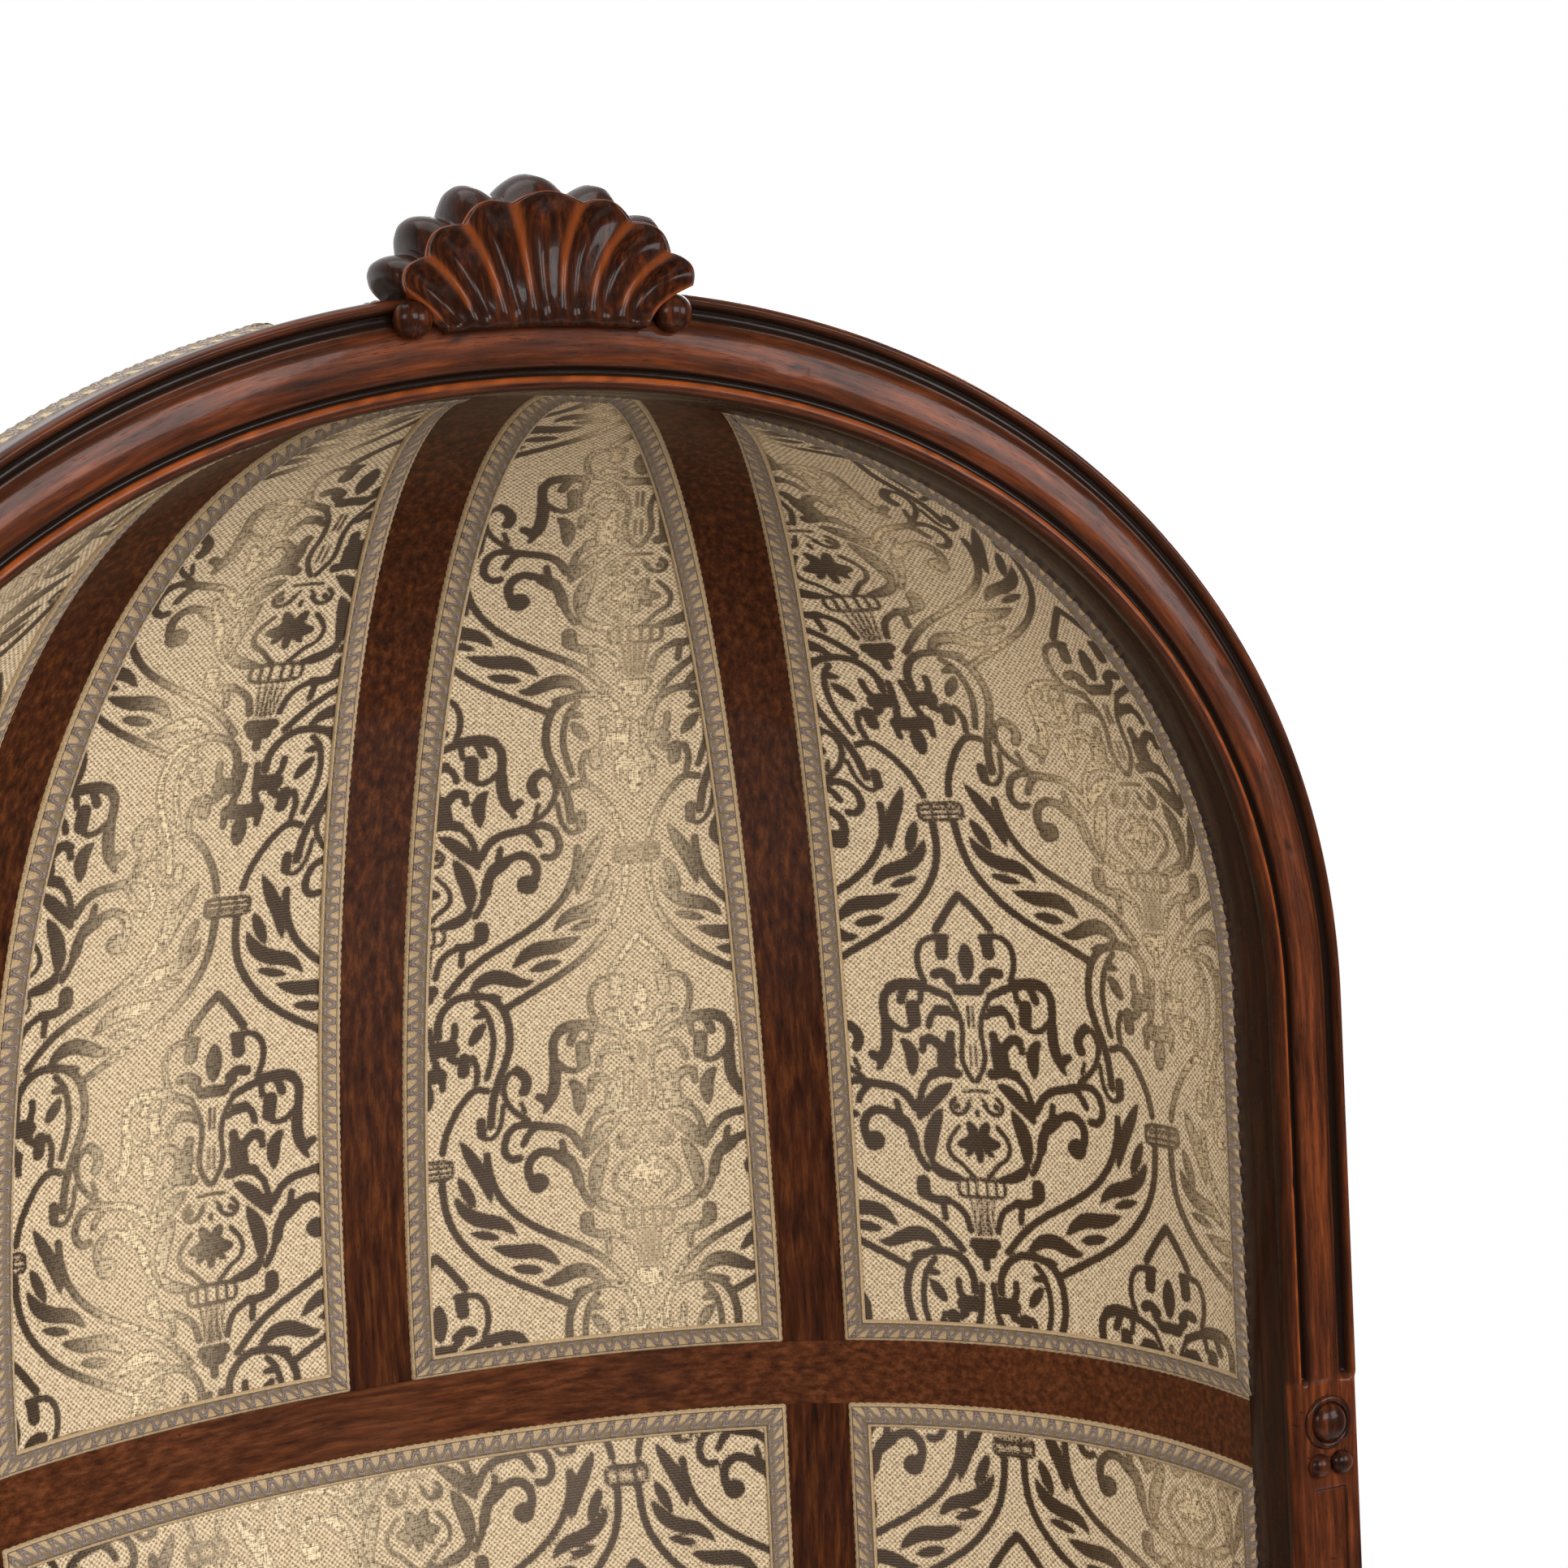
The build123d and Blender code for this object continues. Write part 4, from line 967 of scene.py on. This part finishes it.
def crossing(z, share, start_x, heading):
    """Where on the plan curve an upright plane from (start_x, frame's back) meets it."""
    z, start_x = np.broadcast_arrays(np.asarray(z, float), start_x)
    low, high = np.zeros(z.shape), np.ones(z.shape)
    for _ in range(halvings):
        middle = (low + high) / 2
        point = plan_point(z, share, middle)
        side = np.cos(heading) * (point[..., 0] - start_x) - np.sin(heading) * (point[..., 1] - frame_depth)
        low, high = np.where(side > 0, middle, low), np.where(side > 0, high, middle)
    return low


low_t, high_t = 0.0, 1.0
for _ in range(halvings):
    foot_t = (low_t + high_t) / 2
    foot = plan_point(np.float64(shoulder_height), 0.5, foot_t)
    low_t, high_t = (foot_t, high_t) if foot[0] > rib_foot else (low_t, foot_t)
rib_heading = math.atan2(foot[0] - rib_spread, foot[1] - frame_depth)
rib_near = rib_spread - rib_half / math.cos(rib_heading)
rib_far = rib_spread + rib_half / math.cos(rib_heading)


def even(line, count):
    """A line's points spaced evenly, the line being the first axis."""
    run = running(line)
    at = np.linspace(0, run[-1], count)
    return np.stack([np.interp(at, run, line[:, k]) for k in range(line.shape[1])], -1)


def grid_count(length, step):
    """Points along a length at about a step, to suit the coarser back."""
    return coarse * max(2, round(length / step / coarse)) + 1


def arch_top(x, share):
    """Height at which the arch's edge stands at x."""
    half = half_width - stile_width * (1 - share)
    rise = arch_height - crown_width * (1 - share)
    return spring_height + rise * (1 - (x / half) ** arch_power) ** (1 / arch_power)


back_canopy_size = (205.0, 700.0)
side_canopy_size = (260.0, 620.0)


def back_canopy(share, low, lap, step):
    """Grid of the panel between the centre rib and the side rib, over the dome to the arch."""
    nu, nv = (grid_count(length, step) for length in back_canopy_size)
    columns = []
    for part in np.linspace(0, 1, nu):
        start = rib_half + (rib_near - rib_half) * part
        top = arch_top(start, share)
        z = low + (top - low) * np.sin(np.linspace(0, math.pi / 2, 260))
        z[-1] = top
        line = plan_point(z, share, crossing(z, share, start, rib_heading * part))
        line[-1] = (start, frame_depth, top)
        if lap < 0:
            line = np.concatenate([line, [(start, frame_depth + lap, top)]])
        if lap > 0:
            line = line[line[:, 1] > frame_depth + lap]
        columns.append(even(line, nv))
    return np.array(columns)


def lapped(line, lap):
    """A plan line carried over the frame's back by a negative lap, or begun behind it by a positive."""
    if lap < 0:
        return np.concatenate([[line[0] + (0, lap, 0)], line])
    return line[line[:, 1] >= min(frame_depth + lap, line[-1, 1] - 2.0)]


def side_canopy(share, low, lap, step):
    """Grid of the three-cornered panel between the side rib and the arch."""
    nu, nv = (grid_count(length, step) for length in side_canopy_size)
    top = arch_top(rib_far + 5.0, share)
    z = low + (top - low) * np.sin(np.linspace(0, math.pi / 2, 420))
    run = running(plan_point(z, share, crossing(z, share, rib_far, rib_heading)))
    levels = np.interp(np.linspace(0, run[-1], nv), run, z)
    ends = crossing(levels, share, rib_far, rib_heading)
    rows = []
    for height, end in zip(levels, ends):
        line = plan_point(np.full(80, height), share, np.linspace(0, end, 80))
        rows.append(even(lapped(line, lap), nu))
    return np.array(rows).transpose(1, 0, 2)


inside_lap = -5.0
outside_lap = 4.0
fine_step = 1.5
plain_step = 2.7
canopy_low = shoulder_height + rail_half
mirror_x = np.array((-1.0, 1.0, 1.0))
# Each panel's figure shift across and up in mm, then its painted highlight band's share of the width and
# lean.
canopy_places = {
    ("inside", "back", 1): (-33.0, -32.0, 0.66, 0.0), ("inside", "back", -1): (27.0, -24.0, 0.58, 0.0),
    ("inside", "side", 1): (-51.0, -44.0, 0.22, 0.0014), ("inside", "side", -1): (51.0, -44.0, 0.6, 0.0),
    ("outside", "back", 1): (10.0, 40.0, 0.5, 0.0), ("outside", "back", -1): (-10.0, 40.0, 0.5, 0.0),
    ("outside", "side", 1): (20.0, 60.0, 0.5, 0.0), ("outside", "side", -1): (-20.0, 60.0, 0.5, 0.0),
}
for layer, kind, share, lap, step, crown in (
        ("inside", "inner", 0.0, inside_lap, fine_step, 1.5),
        ("outside", "outer", 1.0, outside_lap, plain_step, 3.0)):
    for part, make in (("back", back_canopy), ("side", side_canopy)):
        grid = make(share, canopy_low, lap, step)
        for side, word in both_sides:
            pad(layer + "_canopy_" + part + "_" + word, "canopy_" + kind + "_panel_" + part + "_" + word,
                grid if side == 1 else grid * mirror_x, layer == "inside", crown,
                canopy_places[layer, part, side])


# Wall panels under the shoulder rail: a wide one round the back and one at each side, inside and
# outside. The outer side panels are parted by the arm rail, and follow its flare at the post.
wall_low = seat_height
wall_high = shoulder_height - rail_half
arm_rail_height = 642.0
rail_low = arm_rail_height - rail_half
rail_high = arm_rail_height + rail_half
flare_radius = 44.0
flare_y = 289.0
side_wall_width = 300.0
back_wall_width = 520.0


def side_wall(share, low, high, lap, step):
    """Grid of a side wall's panel from the arch's back to the post, between two heights."""
    nu, nv = grid_count(side_wall_width, step), grid_count(high - low, step)
    rows = []
    for part in np.linspace(0, 1, nv):
        z = low + (high - low) * part
        end = crossing(np.float64(z), share, rib_far, rib_heading)
        line = plan_point(np.full(60, z), share, np.linspace(0, float(end), 60))
        rows.append(even(lapped(line, lap), nu))
    return np.array(rows).transpose(1, 0, 2)


def back_wall(share, low, high, step):
    """Grid of the wide panel between the posts, round the back."""
    nu, nv = grid_count(back_wall_width, step), grid_count(high - low, step)
    rows = []
    for part in np.linspace(0, 1, nv):
        z = low + (high - low) * part
        start = float(crossing(np.float64(z), share, rib_near, rib_heading))
        half = plan_point(np.full(120, z), share, np.linspace(start, 1, 120))
        rows.append(even(np.concatenate([half, half[-2::-1] * mirror_x]), nu))
    return np.array(rows).transpose(1, 0, 2)


def under_flare(grid):
    """Lowers a grid's top rows to pass under the arm rail's flared end."""
    low = grid[:, :1, 2]
    over = np.clip(grid[:, -1:, 1] - (flare_y - flare_radius), 0, flare_radius)
    top = rail_low - flare_radius + np.sqrt(flare_radius ** 2 - over ** 2)
    bent = grid.copy()
    bent[..., 2] = low + (grid[..., 2] - low) * (top - low) / (rail_low - low)
    return bent


wall_side_step = 2.2
inner_places = {1: (-40.0, -34.0, 0.2, 0.0), -1: (40.0, -34.0, 0.6, 0.0)}
pad("inside_wall_back", "wall_inner_panel_back", back_wall(0.0, wall_low, wall_high, plain_step),
    True, 2.0, (13.0, 153.0, 0.62, 0.0))
pad("outside_wall_back", "wall_outer_panel_back", back_wall(1.0, wall_low, wall_high, plain_step),
    False, 3.0, (0.0, 20.0, 0.5, 0.0))
inner_side = side_wall(0.0, wall_low, wall_high, inside_lap, wall_side_step)
outer_high = side_wall(1.0, rail_high, wall_high, outside_lap, plain_step)
outer_low = under_flare(side_wall(1.0, wall_low, rail_low, outside_lap, plain_step))
for side, word in both_sides:
    turned = np.array((float(side), 1.0, 1.0))
    outer_place = (side * 30.0, 50.0, 0.5, 0.0)
    pad("inside_wall_side_" + word, "wall_inner_panel_side_" + word, inner_side * turned,
        True, 2.0, inner_places[side])
    pad("outside_wall_high_" + word, "wall_outer_panel_high_" + word, outer_high * turned,
        False, 3.0, outer_place)
    pad("outside_wall_low_" + word, "wall_outer_panel_low_" + word, outer_low * turned,
        False, 3.0, outer_place)


# Front legs: square posts under the arm supports, shaped below the rail into cabriole legs.
# Each is bandsawn and spokeshaved from one piece of mahogany, from a pad foot to the knee.
leg_middle_x = 379.0
leg_middle_y = -264.0
leg_size = 52.0
leg_top = 400.0
glide_height = 4.0

# Up the leg: share of the height, share of the post's size, and how far it stands out, as a share.
cabriole = (
    (0.0, 0.66, 0.20), (0.05, 0.84, 0.22), (0.10, 0.70, 0.19), (0.18, 0.50, 0.09), (0.28, 0.47, 0.0),
    (0.42, 0.53, -0.05), (0.56, 0.64, -0.02), (0.70, 0.80, 0.07), (0.82, 0.95, 0.15), (0.91, 1.02, 0.13),
    (1.0, 1.0, 0.0))


def through(table, count):
    """Rows of a table of sizes, drawn smooth to an even count of steps by Hermite curves."""
    table = np.array(table)
    slope = np.gradient(table[:, 1:], table[:, 0], axis=0)
    rows = []
    for at in np.linspace(table[0, 0], table[-1, 0], count):
        k = min(int(np.searchsorted(table[:, 0], at, side="right")) - 1, len(table) - 2)
        span = table[k + 1, 0] - table[k, 0]
        t = (at - table[k, 0]) / span
        rows.append([at, *(
            (2 * t ** 3 - 3 * t ** 2 + 1) * table[k, 1:] + (t ** 3 - 2 * t ** 2 + t) * span * slope[k]
            + (3 * t ** 2 - 2 * t ** 3) * table[k + 1, 1:] + (t ** 3 - t ** 2) * span * slope[k + 1])])
    return rows


def drawn_up(name, steps, rounding, material, stands_for):
    """A member extruded through steps of (x, y, z, size) in mm from a plate with rounded corners."""
    bpy.ops.object.select_all(action="DESELECT")
    x, y, z, size = steps[0]
    here = placed((x, y, z))
    bpy.ops.mesh.primitive_plane_add(size=size * 0.001, location=here)
    bpy.ops.object.transform_apply(location=True, rotation=True, scale=True)
    piece = bpy.context.object
    piece.name = name
    bpy.ops.object.mode_set(mode="EDIT")
    bpy.ops.mesh.select_all(action="SELECT")
    bpy.ops.mesh.bevel(offset=size * 0.001 * rounding, segments=5, affect="VERTICES")
    bpy.ops.mesh.select_all(action="SELECT")
    for x, y, z, new_size in steps[1:]:
        there = placed((x, y, z))
        bpy.ops.mesh.extrude_region_move(TRANSFORM_OT_translate={"value": tuple(there - here)})
        ratio = new_size / size
        bpy.ops.transform.resize(value=(ratio, ratio, 1), center_override=tuple(there))
        here, size = there, new_size
    bpy.ops.mesh.select_all(action="SELECT")
    bpy.ops.mesh.normals_make_consistent(inside=False)
    bpy.ops.object.mode_set(mode="OBJECT")
    bpy.ops.object.shade_smooth_by_angle(angle=math.radians(40))
    piece.data.materials.append(material)
    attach(piece, "chair")
    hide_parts(stands_for)
    bpy.ops.object.select_all(action="DESELECT")


for side, word in both_sides:
    steps = []
    for at, size, stand in through(cabriole, 42):
        place = (side * (leg_middle_x + stand * leg_size), leg_middle_y - stand * leg_size)
        steps.append((*place, glide_height + (seat_rail_bottom - glide_height) * at, size * leg_size))
    x, y, z, size = steps[-1]
    steps += [(x, y, leg_top - 1.0, size), (x, y, leg_top, size - 2.0)]
    drawn_up("cabriole_leg_" + word, steps, 0.2, carved_mahogany, "front_leg_" + word)


# Rear legs: raked and splayed square legs under the wall posts, tapered to the floor.
# Sawn from mahogany and screwed to the back seat rail.
rear_leg_x = 223.5
rear_leg_y = 265.4
rear_splay = 20.0
rear_rake = 78.0
rear_foot_size = 34.0
rear_taper = 8.0
rear_curve = ((0.0, 1.0), (0.3, 0.56), (0.65, 0.17), (1.0, 0.0))
for side, word in both_sides:
    steps = []
    for at, bend in through(rear_curve, 26):
        place = (side * (rear_leg_x + rear_splay * bend), rear_leg_y + rear_rake * bend)
        height = glide_height + (seat_rail_bottom - glide_height) * at
        steps.append((*place, height, rear_foot_size + rear_taper * at))
    drawn_up("sabre_leg_" + word, steps, 0.12, rib_mahogany, "rear_leg_" + word)


# Arms: open mahogany arms that fall to a scroll, each over a turned-out support.
# A carved spiral bead winds over each scroll's cheek to a boss in its eye.
arm_mahogany = mahogany("arm_mahogany", "#1a0b07", "#371a0d", "#683114", side_grain, 0.20)
finish_nodes(arm_mahogany, "arm_right", "arm_left")
scroll_x = 385.25
scroll_y = -250.0
scroll_z = 621.0
cheek_half = 22.4
scroll_radius = 25.6
scroll_draw_in = 12.2
scroll_turns = 2.1
bead_radius = 2.2
bead_taper = 1.1
bead_steps = 150
bead_sides = 12
turns = np.linspace(0, scroll_turns * 2 * math.pi, bead_steps)
around = np.linspace(0, 2 * math.pi, bead_sides + 1)[:-1]
for side, word in both_sides:
    for cheek, face in ((1, "outer"), (-1, "inner")):
        x = side * scroll_x + cheek * cheek_half
        radius = scroll_radius - scroll_draw_in * turns / turns[-1]
        line = np.stack([np.full_like(turns, x), scroll_y - radius * np.sin(turns),
                         scroll_z + radius * np.cos(turns)], -1)
        outwards = np.cross(unit(np.gradient(line, axis=0)), (1.0, 0.0, 0.0))
        bead = bead_radius - bead_taper * turns / turns[-1]
        ring = line[:, None] + bead[:, None, None] * (
            np.cos(around)[None, :, None] * outwards[:, None]
            + np.sin(around)[None, :, None] * np.array((1.0, 0, 0)))
        first = np.arange(bead_sides)[None]
        caps = [first[:, ::-1], first + bead_sides * (bead_steps - 1)]
        build("scroll_bead_" + face + "_" + word, placed(ring.reshape(-1, 3)),
              [grid_faces(bead_sides, bead_steps, closed=True)] + caps, arm_mahogany)


# Seat: a deck of steamed beech on corner blocks, sawn, left unpolished and screwed to the rails.
# The screws are zinc-plated steel, and so are the glides driven under the four feet.
def beech(name):
    """Steamed beech as cut: pale, straight-grained, with short dark ray flecks, unvarnished."""
    material, tree = new_material(name)
    start = add_node(tree, "TexCoord").outputs["Object"]
    bands = noise(tree, stretched(tree, start, (18.0, 160.0, 160.0)), 1.0, 6.0)
    browns = ((0.3, "#a97c50"), (0.7, "#d4ae80"), (0.5, "#c2986a"))
    ramp = add_node(tree, "ValToRGB", {"Fac": bands}, stops=browns)
    rays = noise(tree, stretched(tree, start, (220.0, 900.0, 900.0)), 1.0, 1.0)
    wood = blend(tree, remap(tree, rays, 0.63, 0.7, 0.0, 0.5), ramp.outputs[0], "#6f4a2c")
    relief = add_node(tree, "Bump", {"Height": bands, "Strength": 0.2, "Distance": 0.0004})
    surface = add_node(tree, "BsdfPrincipled", {
        "Base Color": wood, "Roughness": 0.62, "Normal": relief.outputs[0]})
    add_node(tree, "OutputMaterial", {"Surface": surface.outputs[0]})
    return material


def zinc_steel(name):
    """Zinc-plated mild steel: bluish grey, finely brushed and a little dulled."""
    material, tree = new_material(name)
    start = add_node(tree, "TexCoord").outputs["Object"]
    lines = noise(tree, stretched(tree, start, (900.0, 900.0, 4000.0)), 1.0, 2.0)
    stain = noise(tree, start, 180.0, 4.0)
    tone = add_node(tree, "ValToRGB", {"Fac": stain}, stops=((0.3, "#7d8083"), (0.7, "#a9adb0")))
    dull = remap(tree, stain, 0.0, 1.0, 0.28, 0.5)
    relief = add_node(tree, "Bump", {"Height": lines, "Strength": 0.2, "Distance": 0.0001})
    surface = add_node(tree, "BsdfPrincipled", {
        "Base Color": tone.outputs[0], "Metallic": 1.0, "Roughness": dull, "Normal": relief.outputs[0]})
    add_node(tree, "OutputMaterial", {"Surface": surface.outputs[0]})
    return material


finish_nodes(beech("steamed_beech"), "seat_deck", "corner_block_right", "corner_block_left")
finish_nodes(zinc_steel("zinc_plated_steel"), "corner_block_screws", "floor_glides")


# Seat cushion: a loose, crowned cushion filled with feather, covered with the inside damask.
# Sewn from a top, a bottom and a boxing strip, with a self-covered cord round both seams.
cushion_seat = 400.3
cushion_crown = 492.3
cushion_front = -278.0
cushion_half = 360.5
cushion_corner = 46.0
cushion_gap = 5.0
cord_radius = 3.2
cord_lay = 6.0
seam_high = cushion_crown - 14.0
seam_low = cushion_seat + 11.0


def cushion_outline(count):
    """The cushion's plan, evenly spaced: straight front, round corners, the wall's curve behind."""
    half, depth = plan_size(np.float64(seat_height), 0.0)
    across, along = quarter(plan_power, np.linspace(0, 1, 300))
    wall = np.stack([np.minimum((half - cushion_gap) * across, cushion_half),
                     frame_depth + (depth - cushion_gap) * along], -1)
    turn = np.linspace(0, math.pi / 2, 24)
    corner = np.stack([cushion_half - cushion_corner * (1 - np.sin(turn)),
                       cushion_front + cushion_corner * (1 - np.cos(turn))], -1)
    right = np.concatenate([[(0.0, cushion_front)], corner, wall])
    whole = np.concatenate([right, right[-2:0:-1] * (-1, 1), right[:1]])
    at = np.linspace(0, running(whole)[-1], count, endpoint=False)
    return np.stack([np.interp(at, running(whole), whole[:, k]) for k in (0, 1)], -1), at


outline, edge_run = cushion_outline(500)
middle = np.array((0.0, (cushion_front + outline[:, 1].max()) / 2))
heading = unit(np.roll(outline, -1, axis=0) - np.roll(outline, 1, axis=0))
outside = np.stack([heading[:, 1], -heading[:, 0]], -1)
draw = np.random.default_rng(12)
pulls = sum(np.cos(2 * math.pi * edge_run / pitch + draw.uniform(0, 6)) * draw.uniform(0.4, 1.0)
            for pitch in edge_run[-1] / np.array((17, 29, 41, 67, 83))) / 2


def cover(share, upper):
    """One ring of the top or bottom at a share of the way out, with the pulls at its seam."""
    ring = middle + (outline - middle) * share
    near = math.exp(-((1 - share) / 0.07) ** 2)
    dents = 1.6 * np.sin(ring[:, 0] / 67.0 + 1.2) * np.sin(ring[:, 1] / 58.0 + 0.4) * (1 - share ** 3)
    if upper:
        swell = (cushion_crown - 1.6 - seam_high) * (1 - share ** 4) ** 0.62
        return np.column_stack([ring, seam_high + swell + dents + pulls * near * 0.8 * (1 - near * 0.4)])
    sunk = seam_low - (seam_low - cushion_seat) * (1 - share ** 8) ** 0.6
    return np.column_stack([ring, np.full(len(ring), sunk)])


bottom_rings = 42
boxing_rings = 22
top_rings = 96
cloth_shift = (0, 60)
rings, cloths = [], []
for share in np.linspace(0.01, 1, bottom_rings):
    rings.append(cover(share, False))
    cloths.append(rings[-1][:, :2] + cloth_shift)
for part in np.linspace(0, 1, boxing_rings):
    bulge = 2.0 * math.sin(math.pi * part) ** 0.7 + pulls * 0.7 * math.sin(math.pi * part)
    rings.append(np.column_stack([outline + outside * np.minimum(bulge, 3.0)[:, None],
                                  np.full(len(outline), seam_low + (seam_high - seam_low) * part)]))
    cloths.append(np.stack([edge_run, rings[-1][:, 2]], -1))
for share in np.linspace(1, 0.01, top_rings) ** 0.85:
    rings.append(cover(share, True))
    cloths.append(rings[-1][:, :2] + cloth_shift)
rings, cloths = np.array(rings), np.array(cloths)
levels, around = rings.shape[:2]
ends = [np.arange(around)[None, ::-1], np.arange(around)[None] + (levels - 1) * around]
cushion = build("seat_cushion_cover", placed(rings.reshape(-1, 3)),
                [grid_faces(around, levels, closed=True)] + ends,
                inside_damask, body="cushion")
cloth = np.concatenate([cloths, np.zeros((levels, around, 1))], -1).reshape(-1, 3)
mark(cushion, "cloth", cloth)
mark(cushion, "figure", figure_at(cloth[:, 0], cloth[:, 1]))
# Painted highlight: a bright band across the cushion's figure.
mark(cushion, "painted_gleam", 0.6 * np.exp(-((cloth[:, 0] + 60.0) / 90.0) ** 2))
mark(cushion, "warp", np.broadcast_to((0.0, 1.0, 0.0), (levels * around, 3)))
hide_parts("seat_cushion")

turn = np.linspace(0, 2 * math.pi, 15)[:-1]
twist = cord_radius * (1 + 0.05 * np.sin(2 * math.pi * edge_run[:, None] / cord_lay + turn[None]))[..., None]
for name, height in (("upper", seam_high), ("lower", seam_low)):
    off = twist * np.cos(turn)[None, :, None] * outside[:, None]
    tube = np.concatenate([outline[:, None] + off, height + twist * np.sin(turn)[None, :, None]], -1)
    joined = grid_faces(len(turn), around + 1, closed=True) % (around * len(turn))
    cord = build("cushion_cord_" + name, placed(tube.reshape(-1, 3)), [joined],
                 inside_damask, body="cushion")
    wound = np.stack(np.broadcast_arrays(edge_run[:, None], turn[None] * cord_radius, 0.0), -1).reshape(-1, 3)
    mark(cord, "cloth", wound)
    mark(cord, "figure", np.full(around * len(turn), -2.0))
    mark(cord, "warp", np.repeat(np.column_stack([heading, np.zeros(around)]), len(turn), axis=0))
    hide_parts("seat_cushion")
